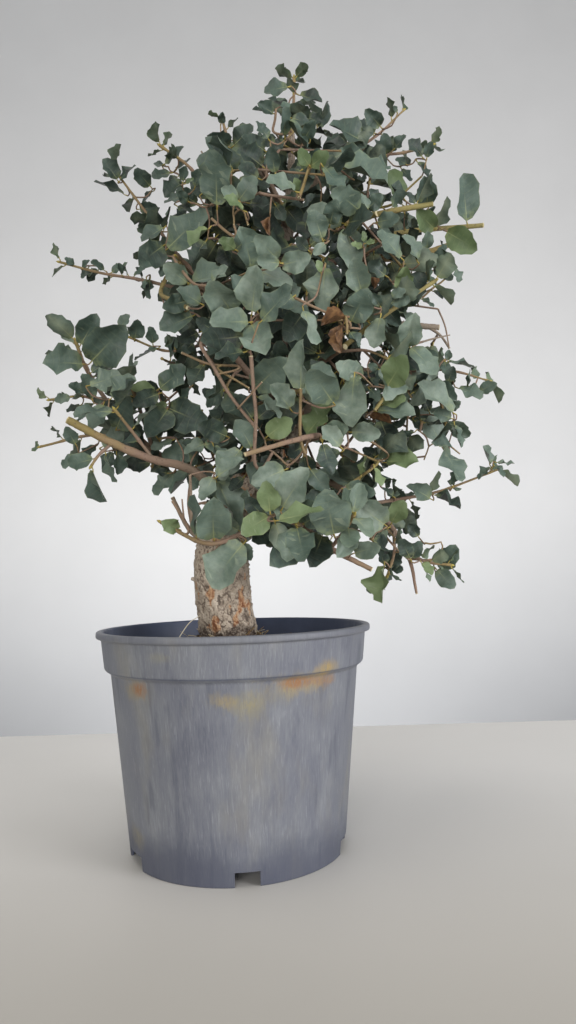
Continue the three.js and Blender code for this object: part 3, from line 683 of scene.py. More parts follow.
class Stems:
    """The points of all wood and stems so far, to find what a new twig can grow from."""

    def __init__(self):
        self.points = np.empty((0, 3))

    def add(self, path):
        """Adds points all along a stem."""
        self.points = np.vstack([self.points, curve_at(path, steps_along(path, 2.5, 2))])

    def nearest(self, place):
        """The point nearest to a place, and how far away it is."""
        distance = np.linalg.norm(self.points - place, axis=1)
        i = np.argmin(distance)
        return self.points[i], distance[i]


room, stems = Room(), Stems()


def grown(points, radii):
    """Takes a stem's room, and lets twigs grow from it."""
    room.take(tube_spots(points, radii))
    stems.add(points)


def add_stem(surface, points, start, end, ages, knots=(), cut=False, sides=7):
    """A thin stem: a tube with a small swelling under each leaf and, where it was cut, a flat pale end."""
    t = steps_along(points)
    if cut:
        t = np.r_[t[:-1], CUT_FROM, 1.0]
    path = curve_at(points, t)
    length = path_length(path)
    radii = blended((start, end), t)
    for knot in knots:
        radii = radii + 0.28 * np.exp(-(((t - knot) * length / 1.8) ** 2))
    x, y, z = (0.4 * path.T)[..., None]
    lumps = 1 + 0.09 * noise(coordinates(x, y, np.arange(sides) + z), 5)
    add_tube(surface, path, radii, sides, WOOD, lumps, age=blended(ages, t), cut=(t == 1) * float(cut))


def add_bud(surface, points):
    """A small pointed bud on a stem's tip."""
    tip, along, _, _ = stem_frame(points, 1.0)
    path = tip + np.outer([-0.6, 0.3, 1.3, 2.2, 2.8], along)
    add_tube(surface, path, [0.7, 1.0, 0.95, 0.5, 0.12], 6, LEAF, along=-1.0, young=1.0, tone=0.9)


def egg_way(height, turn):
    """A direction from the crown's middle, by its height from -1 to 1 and its turn."""
    flat = math.sqrt(1 - height * height)
    return np.array([math.cos(turn) * flat, math.sin(turn) * flat, height])


def spiral_place(i, count):
    """Height and turn of the i-th of count places spread evenly over a ball: equal steps down, each a golden
    turn from the last."""
    return 1 - 2 * (i + 0.5) / count, i * GOLDEN_TURN


def bowed(root, tip, rise):
    """A stem from root to tip, whose middle is raised."""
    middle = root + (tip - root) * 0.55
    middle[2] += rise
    return np.array([root, middle, tip])


def fill_shoots():
    """The frame's shoots that spread evenly over the crown's egg, each from the nearest limb, and with a side
    twig that starts on it and ends a little round and down the egg."""
    limb_rows = [LEADER] + [limb[0] for limb in LIMBS.values()]
    limb_points = np.concatenate([curve_at(np.array(rows)[:, :3], LIMB_SHARES) for rows in limb_rows])
    shoots = {}
    for i in range(FILL_COUNT):
        draws = draws_from(1000 + i)
        height, turn = spiral_place(i, FILL_COUNT)
        reach = 0.86 + 0.22 * next(draws)
        tip = egg_way(height, turn) * CROWN_RADII * reach + CROWN_CENTRE
        distance = np.linalg.norm(limb_points - tip, axis=1)
        rows = bowed(limb_points[np.argmin(distance)], tip, (next(draws) - 0.3) * 0.2 * distance.min())
        leaf = blended(FILL_LEAF, next(draws))
        fork_way = egg_way(max(height - FORK_DROP, -1), turn + FORK_TURN)
        fork_rows = np.array([curve_at(rows, FORK_AT), fork_way * CROWN_RADII * reach + CROWN_CENTRE])
        fork = [fork_rows, *FORK_RADII, *FORK_LEAVES, leaf]
        shoots[f"fill_{i + 1:02d}"] = [rows, *FILL_RADII, *FILL_LEAVES, leaf, fork]
    return shoots


# Materials


def colour(text, alpha=1.0):
    """A colour written as it looks on screen, turned to the linear values that a shader takes."""
    srgb = np.array([int(text[i : i + 2], 16) for i in (0, 2, 4)]) / 255
    linear = np.where(srgb <= 0.04045, srgb / 12.92, ((srgb + 0.055) / 1.055) ** 2.4)
    return (*linear.tolist(), alpha)


class Nodes:
    """Short ways to add nodes to a tree. An input given as a socket is linked, and any other is set."""

    def __init__(self, tree):
        self.tree = tree

    def add(self, kind, inputs=None, **settings):
        """A new node of a kind, with these inputs and settings."""
        made = self.tree.nodes.new(kind)
        for key, value in settings.items():
            setattr(made, key, value)
        for key, value in (inputs or {}).items():
            self.set(made.inputs[key], value)
        return made

    def set(self, socket, value):
        if isinstance(value, bpy.types.NodeSocket):
            self.tree.links.new(value, socket)
        else:
            socket.default_value = value

    def math(self, operation, a, b=0.0):
        return self.add("ShaderNodeMath", {0: a, 1: b}, operation=operation).outputs[0]

    def plus(self, a, b):
        return self.math("ADD", a, b)

    def minus(self, a, b):
        return self.math("SUBTRACT", a, b)

    def times(self, a, b):
        return self.math("MULTIPLY", a, b)

    def swing(self, value, width):
        """A value from 0 to 1 made to swing about 0, over this width."""
        return self.times(self.minus(value, 0.5), width)

    def vector(self, operation, a, b=(0, 0, 0)):
        """The result of an operation on vectors, which for some is one number."""
        made = self.add("ShaderNodeVectorMath", {0: a, 1: b}, operation=operation)
        return made.outputs[1 if operation in ("LENGTH", "DISTANCE", "DOT_PRODUCT") else 0]

    def part(self, vector, axis):
        """A vector's part along an axis: 0 for x, 1 for y and 2 for z."""
        return self.add("ShaderNodeSeparateXYZ", {0: vector}).outputs[axis]

    def step(self, value, low, high, out_low=0.0, out_high=1.0):
        """From out_low to out_high in a smooth S while the value goes from low to high."""
        inputs = {"Value": value, "From Min": low, "From Max": high, "To Min": out_low, "To Max": out_high}
        return self.add("ShaderNodeMapRange", inputs, interpolation_type="SMOOTHSTEP").outputs[0]

    def mix(self, factor, a, b, blend="MIX"):
        """From colour a to colour b by a factor from 0 to 1."""
        given = {0: factor, 6: a, 7: b}
        return self.add("ShaderNodeMix", given, data_type="RGBA", blend_type=blend).outputs[2]

    def ramp(self, value, stops):
        """Colours blended between stops, each given as place and colour."""
        made = self.add("ShaderNodeValToRGB", {"Fac": value})
        points = made.color_ramp.elements
        while len(points) < len(stops):
            points.new(0.5)
        for point, (place, shade) in zip(points, stops):
            point.position, point.color = place, colour(shade)
        return made.outputs[0]

    def scaled(self, vector, *scale):
        """A vector with each part multiplied by its scale."""
        return self.add("ShaderNodeMapping", {"Vector": vector, "Scale": scale}).outputs[0]

    def noise(self, vector, scale, detail=3.0, roughness=0.55):
        inputs = {"Vector": vector, "Scale": scale, "Detail": detail, "Roughness": roughness}
        return self.add("ShaderNodeTexNoise", inputs).outputs[0]

    def attributes(self, *names):
        """The corner values with these names."""
        kind = {"attribute_type": "GEOMETRY"}
        return [self.add("ShaderNodeAttribute", attribute_name=name, **kind).outputs["Fac"] for name in names]

    def place(self):
        """The place on the piece, in metres."""
        return self.add("ShaderNodeTexCoord").outputs["Object"]

    def finish(self, base, roughness, bump=None, gloss=0.5):
        """Gives the shader its colour, roughness, gloss and bump (height, strength and distance)."""
        given = {"Base Color": base, "Roughness": roughness, "Specular IOR Level": gloss}
        if bump:
            made = self.add("ShaderNodeBump", dict(zip(("Height", "Strength", "Distance"), bump)))
            given["Normal"] = made.outputs[0]
        for name, value in given.items():
            self.set(self.tree.nodes["Principled BSDF"].inputs[name], value)


def new_material(name):
    """A material, its nodes and the place on the piece."""
    made = bpy.data.materials.new(name)
    made.use_nodes = True
    n = Nodes(made.node_tree)
    return made, n, n.place()


def leaf_material():
    """Dusty grey-green blades: mottled, yellowish near the stalk and along the edge, pale underneath, greener
    when young, with a thin pale midrib, faint side veins and ochre stalks."""
    made, n, place = new_material("leaf_blade")
    along, across, tone = n.attributes("along", "across", "tone")
    young, dead, under = n.attributes("young", "dead", "under")
    mottled, patchy = n.noise(place, 80.0, 4.0), n.noise(place, 300.0, 3.0)
    uneven = n.plus(n.times(mottled, 0.6), n.times(patchy, 0.25))
    # The tone holds each leaf's own tone times the painted shade and light given to it in the crown.
    shade = n.plus(n.times(tone, 0.75), n.minus(uneven, 0.3))
    base = n.ramp(
        shade, [(0.0, "1d2621"), (0.16, "35423b"), (0.38, "4c5d53"), (0.65, "67776a"), (0.98, "95a194")]
    )
    base = n.mix(young, base, n.ramp(shade, [(0.2, "536640"), (0.9, "7d8f5c")]))
    # The pale underside also takes that painted shade.
    base = n.mix(n.times(under, 0.65), base, n.ramp(shade, [(0.05, "454e40"), (0.5, "9aa48c")]))
    wide = n.math("ABSOLUTE", across)
    yellowish = n.math("MAXIMUM", n.step(along, 0.0, 0.3, 0.45, 0.0), n.step(wide, 0.85, 1.0, 0.0, 0.2))
    base = n.mix(n.times(yellowish, n.step(patchy, 0.3, 0.6)), base, colour("8f9862"))
    slant = n.minus(along, n.times(wide, 0.12))
    row = n.math("PINGPONG", slant, 0.5 / SIDE_VEINS)
    side_vein = n.times(n.step(row, 0.0, 0.012, 1.0, 0.0), n.step(wide, 0.4, 0.95, 0.1, 0.0))
    midrib = n.times(n.step(wide, 0.015, 0.07, 1.0, 0.0), n.step(along, 0.05, 0.6, 0.55, 0.03))
    veins = n.math("MAXIMUM", side_vein, midrib)
    base = n.mix(veins, base, n.mix(under, colour("a3a878"), colour("a8ad7c")))
    stalk = n.step(along, -0.5, -0.1, 1.0, 0.0)
    base = n.mix(stalk, base, n.ramp(mottled, [(0.3, "8f8242"), (0.7, "b3a255")]))
    brown = n.ramp(patchy, [(0.3, "4a382b"), (0.5, "73553c"), (0.75, "98764f")])
    base = n.mix(dead, base, brown)
    height = n.minus(n.times(patchy, 0.8), n.times(veins, 0.3))
    n.finish(base, n.step(mottled, 0.3, 0.7, 0.45, 0.62), (height, 0.35, 0.0012), gloss=0.36)
    return made


def bark_material():
    """Bark by age: yellow-green shoots, tan and pinkish twigs, then pale grey-tan cork with dark specks and
    rusty flecks, darker in its cracks, partly by painted shade, and darker at its foot."""
    made, n, place = new_material("bark_cork")
    age, cut, crack = n.attributes("age", "cut", "crack")
    fine, broad = n.noise(place, 700.0, 3.0), n.noise(place, 120.0, 4.0)
    varied = n.plus(age, n.swing(broad, 0.25))
    base = n.ramp(
        varied, [(0.0, "878050"), (0.3, "8a794c"), (0.55, "8a7262"), (0.8, "80705f"), (1.0, "948778")]
    )
    mottled = n.plus(n.times(broad, 0.6), n.times(fine, 0.4))
    cork = n.ramp(mottled, [(0.34, "918373"), (0.5, "aea08f"), (0.64, "c8bbaa")])
    base = n.mix(n.step(age, 1.2, 1.6), base, cork)
    speck = n.step(n.noise(place, 420.0, 2.0), 0.6, 0.68)
    base = n.mix(n.times(speck, 0.55), base, colour("5e4f44"))
    flecks = n.noise(n.scaled(place, 1, 1, 0.42), 110.0, 3.0, 0.5)
    old = n.step(age, 1.3, 1.7)
    rusty = n.times(n.step(flecks, 0.56, 0.61), old)
    base = n.mix(n.times(rusty, 0.75), base, n.ramp(fine, [(0.35, "a17149"), (0.65, "c79c6e")]))
    core = n.times(n.step(flecks, 0.63, 0.68), old)
    base = n.mix(n.times(core, 0.8), base, colour("6e3d24"))
    # The cracks: their own darker, rusty bark, with painted shade that is darkest where they are deepest.
    deep = n.mix(rusty, n.ramp(fine, [(0.35, "55483e"), (0.6, "7d6d5e")]), colour("8a5230"))
    base = n.mix(n.step(crack, 0.3, 0.9, 0.0, 0.75), base, deep)
    base = n.mix(n.step(crack, 0.9, 1.0, 0.0, 0.6), base, n.mix(rusty, colour("3a302a"), colour("5c321e")))
    low = n.plus(n.part(place, 2), n.swing(broad, 0.035))
    peat = n.times(n.step(low, 0.149, 0.161, 0.95, 0.0), n.step(fine, 0.4, 0.65, 1.0, 0.55))
    base = n.mix(peat, base, colour("3a2e28"))
    base = n.mix(cut, base, n.ramp(broad, [(0.3, "c9b98c"), (0.7, "e2d8b4")]))
    n.finish(base, 0.85, (n.plus(fine, broad), 0.6, 0.0007))
    return made


def stain_group():
    """A ragged oval patch: 1 at its centre, fading to 0 at its edge, which broad and fine noise eats into."""
    group = bpy.data.node_groups.new("stain_patch", "ShaderNodeTree")
    for name in ("Place", "Centre", "Size"):
        group.interface.new_socket(name, in_out="INPUT", socket_type="NodeSocketVector")
    group.interface.new_socket("Mask", in_out="OUTPUT", socket_type="NodeSocketFloat")
    n = Nodes(group)
    place, centre, size = n.add("NodeGroupInput").outputs[:3]
    away = n.vector("LENGTH", n.vector("DIVIDE", n.vector("SUBTRACT", place, centre), size))
    ragged = n.noise(n.scaled(place, 1, 1, 0.6), 90.0, 3.0)
    grain = n.noise(n.scaled(place, 1, 1, 0.35), 420.0, 4.0, 0.7)
    eaten = n.plus(n.swing(ragged, 1.5), n.swing(grain, 2.2))
    mask = n.step(n.plus(away, eaten), 0.25, 1.1, 1.0, 0.0)
    n.add("NodeGroupOutput", {0: n.times(mask, n.step(grain, 0.38, 0.6, 0.35, 1.0))})
    return group


# Stains on the pot: centre and half size, colour and strength.
STAINS = [
    ((48, -76, 124), (34, 24, 9), "a08d5c", 0.7),
    ((45, -77, 124.5), (20, 16, 4.5), "8f5e3a", 0.85),
    ((64, -62, 123), (13, 12, 5), "94704a", 0.7),
    ((67, -69, 131.5), (14, 12, 6), "a58c52", 0.8),
    ((-62, -64, 121), (16, 14, 9), "97875c", 0.6),
    ((-58, -68, 121.5), (12, 10, 5.5), "8f5e3a", 0.8),
    ((-2, -90, 115), (11, 9, 7), "9c8a58", 0.7),
    ((14, -88, 113), (11, 9, 11), "928860", 0.65),
    ((30, -84, 118), (16, 12, 9), "948a66", 0.35),
    ((-40, -87, 143), (14, 9, 5), "96906c", 0.3),
    ((-66, -48, 22), (12, 12, 10), "8f8560", 0.4),
    ((60, 62, 122), (24, 18, 7), "a5693a", 0.6),
    ((-50, 73, 118), (18, 14, 9), "a2925a", 0.5),
    ((-84, 20, 121), (10, 18, 6), "a08d5c", 0.5),
]


def pot_material():
    """Faded blue-grey moulded plastic: dull chalky bloom in upright streaks, fine scratches, a darker foot,
    painted shade on the inside, and rust and yellow stains under the band. It is inside where it is nearer to
    the axis than a line up the body, which steps out at the band."""
    made, n, place = new_material("pot_plastic")
    height = n.part(place, 2)
    radius = n.vector("LENGTH", n.vector("MULTIPLY", place, (1, 1, 0)))
    broad = n.noise(place, 26.0, 4.0)
    streaks = n.noise(n.scaled(place, 1, 1, 0.045), 820.0, 5.0, 0.7)
    runs = n.noise(n.scaled(place, 1, 1, 0.12), 60.0, 4.0, 0.6)
    smudges = n.plus(n.times(broad, 0.35), n.times(runs, 0.3))
    worn = n.plus(n.times(streaks, 0.35), smudges)
    base = n.ramp(worn, [(0.36, "5c5f6b"), (0.46, "6b6e78"), (0.54, "75787f"), (0.64, "878a8f")])
    scratch = n.step(n.noise(n.scaled(place, 1, 1, 0.02), 900.0, 2.0), 0.6, 0.68)
    base = n.mix(n.times(scratch, 0.16), base, colour("a8aaae"))
    scuff = n.step(n.noise(n.scaled(place, 1, 1, 0.12), 110.0, 4.0), 0.56, 0.68)
    base = n.mix(n.times(scuff, 0.45), base, colour("4d515f"))
    ochre = n.step(n.noise(n.scaled(place, 1, 1, 0.35), 30.0, 4.0), 0.5, 0.7, 0.0, 0.35)
    base = n.mix(ochre, base, colour("8a8574"))
    wavy = n.plus(height, n.swing(n.noise(place, 40.0, 4.0), 0.03))
    base = n.mix(n.step(wavy, 0.01, 0.034, 0.7, 0.0), base, colour("464a5a"))
    base = n.mix(n.step(height, 0.1505, 0.1525, 0.0, 0.5), base, colour("64666d"))
    group = stain_group()
    for centre, size, shade, strength in STAINS:
        patch = n.add("ShaderNodeGroup", node_tree=group)
        n.set(patch.inputs["Place"], place)
        for name, value in (("Centre", centre), ("Size", size)):
            patch.inputs[name].default_value = [v * MM for v in value]
        base = n.mix(n.times(patch.outputs[0], strength), base, colour(shade))
    body = n.plus((FOOT_RADIUS - 1.2) * MM, n.times(height, (BODY_TOP_RADIUS - FOOT_RADIUS) / BODY_TOP))
    band = n.step(height, BODY_TOP * MM, BAND_BOTTOM * MM, 0.0, (BAND_RADIUS - BODY_TOP_RADIUS - 1.6) * MM)
    inside = n.step(n.minus(n.plus(body, band), radius), 0.0, 0.0006)
    # Painted shade on the pot's inside.
    base = n.mix(inside, base, n.ramp(broad, [(0.3, "373f54"), (0.7, "4c556c")]))
    marks = n.plus(streaks, n.times(scratch, 0.4))
    n.finish(base, n.step(worn, 0.4, 0.65, 0.42, 0.68), (marks, 0.22, 0.0006))
    return made


def soil_material():
    """Dark peat with lighter grit and fibres by tone."""
    made, n, place = new_material("potting_soil")
    [tone] = n.attributes("tone")
    grain, broad = n.noise(place, 520.0, 4.0, 0.7), n.noise(place, 60.0, 3.0)
    base = n.ramp(grain, [(0.3, "1a130e"), (0.5, "33271d"), (0.7, "574636")])
    base = n.mix(n.step(broad, 0.45, 0.65, 0.0, 0.4), base, colour("45382b"))
    bits = n.ramp(tone, [(0.3, "4b3a29"), (0.6, "8d7449"), (1.0, "cfc6ae")])
    base = n.mix(n.step(tone, 0.05, 0.35), base, bits)
    n.finish(base, 0.95, (grain, 0.8, 0.0015))
    return made


leaf_finish, bark_finish = leaf_material(), bark_material()
pot_finish, soil_finish = pot_material(), soil_material()


def own(piece, slot, *nodes):
    """The piece moves with the tree and stands in place of these frame nodes, which it hides. The slot is not
    used.
    """
    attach(piece, "root")
    if nodes:
        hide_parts(*nodes)


def own_leaves(surface, name, *nodes):
    """Makes a piece of leaves and their stems, which moves with the tree."""
    own(surface.piece(name, [leaf_finish, bark_finish], LEAF_SHARP_FROM), "leaf", *nodes)


# The pot


def rounded(outline, radius, steps=4):
    """The outline with each corner replaced by a short curve between points on the edges beside it: blends to
    and from the corner, blended again."""
    points = np.array(outline, float)
    made = [points[0]]
    t = np.linspace(0, 1, steps)[:, None]
    for before, corner, after in zip(points, points[1:], points[2:]):
        reach = min(radius, *(np.linalg.norm(end - corner) / 2.2 for end in (before, after)))
        a, b = (corner + unit(end - corner) * reach for end in (before, after))
        made.extend((1 - t) ** 2 * a + 2 * t * (1 - t) * corner + t**2 * b)
    made.append(points[-1])
    return np.array(made)


def add_turned(surface, outline, sides):
    """The outline turned round +Z, closed with a fan where it starts and where it ends, both on the axis."""
    radius, height = outline[1:-1].T[..., None]
    angle = ring_turns(sides)
    corners = coordinates(radius * np.cos(angle), radius * np.sin(angle), height)
    ends = np.array([[0, 0, outline[0][1]], [0, 0, outline[-1][1]]])
    faces = (kind[:, ::-1] for kind in ring_faces(len(radius), sides))
    surface.add(np.vstack([corners.reshape(-1, 3), ends]), *faces)


def box_corners(width, depth, height):
    """The corners of a box about the axis, as far below the ground as above it."""
    spans = (-width / 2, width / 2), (-depth / 2, depth / 2), (-height, height)
    return np.array(list(itertools.product(*spans)))


BOX_FACES = [[0, 1, 3, 2], [4, 6, 7, 5], [0, 4, 5, 1], [2, 3, 7, 6], [0, 2, 6, 4], [1, 5, 7, 3]]


def pot_outline():
    """The pot's section, up its outer face from the middle of its base and down its inner one."""
    floor, inside = FOOT_RADIUS - WALL, BAND_RADIUS - WALL
    under_lip, on_lip = LIP_CHAMFERS
    return [
        [0, 0], [BASE_RADIUS, 0], [BASE_RADIUS + RISER, RAISED_FLOOR], [floor, RAISED_FLOOR],
        [floor, 0], [FOOT_RADIUS, 0], [BODY_TOP_RADIUS, BODY_TOP],
        [BAND_RADIUS - BAND_DRAFT, BAND_BOTTOM], [BAND_RADIUS, LIP_BOTTOM],
        [RIM_RADIUS, LIP_BOTTOM + under_lip], [RIM_RADIUS - on_lip, POT_HEIGHT - on_lip],
        [inside + WALL_STEP, POT_HEIGHT], [inside - BAND_DRAFT, BAND_BOTTOM + WALL_STEP],
        [BODY_TOP_RADIUS - WALL, BODY_TOP - WALL_STEP], [floor + FOOT_STEP, FLOOR_TOP],
        [BASE_RADIUS + RISER - FLOOR_STEP, FLOOR_TOP], [BASE_RADIUS - FLOOR_STEP, WALL], [0, WALL],
    ]


def make_pot():
    """The turned section, with a notch cut out of its foot ring at each of the notch turns."""
    shell = Surface()
    add_turned(shell, rounded(pot_outline(), CORNER_ROUNDING), POT_SIDES)
    pot = shell.piece("pot_shell", [pot_finish])
    cutters = Surface()
    outwards = FOOT_RADIUS + NOTCH_OUT - NOTCH_DEPTH / 2
    for turn, width in zip(NOTCH_TURNS, NOTCH_WIDTHS):
        corners = box_corners(width, NOTCH_DEPTH, NOTCH_HEIGHT) - outwards * Y
        c, s = math.cos(math.radians(turn)), math.sin(math.radians(turn))
        cutters.add(corners @ np.array([[c, s, 0], [-s, c, 0], [0, 0, 1]]), BOX_FACES)
    cutter = cutters.piece("notch_cutter", [])
    notches = pot.modifiers.new("notches", "BOOLEAN")
    notches.operation, notches.object, notches.solver = "DIFFERENCE", cutter, "EXACT"
    pot.data = bpy.data.meshes.new_from_object(pot.evaluated_get(bpy.context.evaluated_depsgraph_get()))
    pot.modifiers.clear()
    bpy.data.objects.remove(cutter)
    smooth(pot.data, sharp_from=40)
    own(pot, "pot_plastic", "pot")


# The soil


def soil_height(x, y):
    """Lumpy ground that rises against the trunk's foot."""
    spots = np.stack([x / 9, y / 9, np.zeros_like(x)], -1)
    away = np.hypot(x - TRUNK[1][0], y - TRUNK[1][1])
    lumps = 1.6 * layered_noise(spots, 4, 11) + 0.7 * noise(spots * 7, 21)
    return SOIL_TOP + lumps + 7.5 * (1 - eased(20, 34, away)) - 1.0


def make_soil_bed():
    """The soil's outline, a little inside the pot's, turned, with its top raised to the ground's height."""
    rim = BAND_RADIUS - WALL - SOIL_ROOM
    floor = FLOOR_TOP + 0.6
    outline = [
        [0, WALL + 0.3], [BASE_RADIUS - 2.4, WALL + 0.3], [BASE_RADIUS + RISER - 2.4, floor],
        [FOOT_RADIUS - WALL + 0.4, floor], [BODY_TOP_RADIUS - WALL - 1.2, BODY_TOP - 0.6],
        [rim - 0.6, BAND_BOTTOM + 1.8], [rim, SOIL_TOP - 2.5],
    ]
    outline += [[r, SOIL_TOP] for r in np.linspace(rim - 1, 2, 64)] + [[0, SOIL_TOP]]
    ground = Surface()
    add_turned(ground, np.array(outline), 150)
    corners = ground.corners[0]
    on_top = corners[:, 2] > SOIL_TOP - 1
    corners[on_top, 2] = soil_height(corners[on_top, 0], corners[on_top, 1])
    own(ground.piece("soil_bed", [soil_finish]), "soil", "soil")


def ground_at(angle, away):
    """The ground's surface at an angle and a distance from the trunk's foot."""
    x, y = TRUNK[1][0] + away * math.cos(angle), TRUNK[1][1] + away * math.sin(angle)
    return np.array([x, y, soil_height(x, y).item()])


def make_litter():
    """Crumbs and fibres scattered on the soil, most of them near the trunk, and one pale thread that hangs
    from the trunk's left side."""
    litter = Surface()
    draws = draws_from(77)
    for i in range(CRUMBS):
        angle = next(draws) * TAU
        near = i % 3 > 0
        away = 21 + 14 * next(draws) if near else 24 + 62 * math.sqrt(next(draws))
        place = ground_at(angle, away)
        if math.hypot(*place[:2]) > CRUMB_REACH:
            continue
        size = 0.7 + 1.8 * next(draws) ** 2
        tall = size * (0.5 + 0.4 * next(draws))
        add_blob(litter, place + 0.2 * size * Z, size, tall, i, tone=0.75 * next(draws) ** 2)
    for i in range(FIBRES):
        angle, swing = next(draws) * TAU, next(draws) * TAU
        near = i % 4 > 0
        away = 19.5 + 7 * next(draws) if near else 26 + 55 * next(draws)
        start = ground_at(angle, away) - 0.5 * Z
        if math.hypot(*start[:2]) > FIBRE_REACH:
            continue
        length = 4 + 9 * next(draws)
        rise = (0.15 + 0.75 * next(draws)) if near else 0.12 * next(draws)
        way = np.array([math.cos(swing), math.sin(swing), rise]) * length
        bow = np.array([-math.sin(swing), math.cos(swing), 0.5]) * length * 0.2 * (next(draws) - 0.3)
        path = curve_at([start, start + way * 0.5 + bow, start + way], np.linspace(0, 1, 6))
        width = 0.16 + 0.22 * next(draws)
        add_tube(litter, path, width, 5, tone=0.45 + 0.5 * next(draws))
    add_tube(litter, curve_at(THREAD, np.linspace(0, 1, 30)), THREAD_RADIUS, 6, tone=1.0)
    own(litter.piece("soil_litter", [soil_finish]), "soil")


# The wood


def radius_along(rows, t):
    """The radius at shares of an axis, in straight lines from point to point."""
    return np.interp(t * (len(rows) - 1), np.arange(len(rows)), [row[3] for row in rows])


def trunk_relief(steps, sides):
    """The frame's own ridges and rings, as a share of the radius: waves round the trunk that lean one way or
    the other, and one along it."""
    t, angle = np.linspace(0, 1, steps)[:, None], ring_turns(sides)[None]
    ridges = 0.6 * np.sin(3 * angle + 9 * t) + 0.5 * np.sin(5 * angle - 14 * t)
    return 1 + 0.07 * (ridges + 0.4 * np.sin(31 * t))


def bark_cracks(places, scale):
    """Upright cracks between cork plates: thin where two plates meet, and a little warped."""
    spots = places / np.array([scale, scale, 2.3 * scale])
    spots = spots + 0.32 * np.stack([noise(spots * 1.7, seed) for seed in (31, 32, 33)], -1)
    return 1 - eased(0.02, 0.17, plate_edges(spots, 41))


def add_trunk(surface, rows, steps, sides, relief, depth, plate, age):
    """A thick stem. Its surface is lowered in the wide and the fine cracks between its plates, and raised by
    broad swellings, rough grain and flakes."""
    t = np.linspace(0, 1, steps)
    path = curve_at(np.array(rows)[:, :3], t)
    base = radius_along(rows, t)[:, None] * relief
    places = path[:, None] + base[..., None] * ring_ways(path, sides)
    wide, fine = bark_cracks(places, plate), bark_cracks(places, plate * 0.42)
    rough = layered_noise(places / 2.6, 3, 51)
    flakes = eased(0.4, 0.75, noise(places / np.array([1.7, 1.7, 2.6]), 81))
    raised = depth * (0.35 + 0.3 * noise(places / 7, 61) - wide - 0.32 * fine + 0.3 * rough + 0.8 * flakes)
    crack = np.clip(wide + 0.3 * fine, 0, 1)
    add_tube(surface, path, 1.0, sides, lumps=base + raised, age=age, crack=crack)


def add_limb(surface, rows, start, end, ages, sides=14):
    """A limb: it flares where it leaves the wood, and has lumps, cracks between them and a pale cut end."""
    t = np.sort(np.r_[steps_along(rows, 1.6), CUT_FROM])
    path = curve_at(rows, t)
    along = t[:, None] * path_length(path)
    flare = 1 + 0.45 * np.exp(-t * path_length(path) / (2.5 * start))
    angle = ring_turns(sides)
    spots = coordinates(np.cos(angle) * 1.3 + along / 5, np.sin(angle) * 1.3, along / 9 + start)
    lumps = 1 + 0.13 * layered_noise(spots, 3, 71)
    looks = {"age": blended(ages, t), "cut": t == 1, "crack": np.clip(3 * (0.94 - lumps), 0, 0.3)}
    add_tube(surface, path, blended((start, end), t) * flare, sides, lumps=lumps, **looks)


def make_wood():
    """The trunk and the leader with their bark, and the limbs."""
    wood = Surface()
    add_trunk(wood, TRUNK, *TRUNK_GRID, trunk_relief(*TRUNK_GRID), depth=1.0, plate=3.3, age=1.8)
    add_trunk(wood, LEADER, *LEADER_GRID, np.ones(LEADER_GRID), depth=0.45, plate=3.0, age=1.25)
    for name, (rows, start, end) in LIMBS.items():
        add_limb(wood, rows, start, end, LIMB_AGES.get(name, LIMB_AGE))
        grown(rows, [start, end])
    for rows in (LEADER, TRUNK):
        room.take(tube_spots(np.array(rows)[:, :3], [row[3] for row in rows]))
    stems.add(np.array(LEADER)[:, :3])
    own(wood.piece("cork_wood", [bark_finish]), "bark", "trunk")


# The frame's shoots, made finer


def make_shoots():
    """Each of the frame's shoots: its stem and side twig, and the leaves that its mesh has."""
    for index, (name, shoot) in enumerate({**SHOOTS, **fill_shoots()}.items()):
        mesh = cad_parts[f"spray_{name}"].data
        corners = np.empty(len(mesh.vertices) * 3, np.float32)
        mesh.vertices.foreach_get("co", corners)
        corners = corners.reshape(-1, 3) / MM
        surface = Surface()
        draws = draws_from(index + 1)
        is_cut = name in CUT_SHOOTS
        thickness = FILL_STEM if name.startswith("fill_") else 1
        for branch in branches_of(shoot):
            points, start, end = branch[:3]
            places = leaf_places(branch, draws)
            for place in places:
                blade = blade_in_frame(points, place, corners)
                if blade is not None:
                    # Painted shade on leaves that stand in the crown's hollows.
                    blade.shade *= painted_hollow_shade(blade.at)
                    add_blade(surface, blade)
                    room.take(blade_spots(blade, 0.1, 1.0))
            ages = SHOOT_AGES.get(name, SHOOT_AGE)
            knots = [place[0] for place in places]
            add_stem(surface, points, start * thickness, end * thickness, ages, knots, is_cut)
            if not is_cut:
                add_bud(surface, points)
            grown(points, [start, end])
        own_leaves(surface, f"shoot_{name}", f"spray_{name}")


# Leaves that show in the photo, and the twigs that carry them

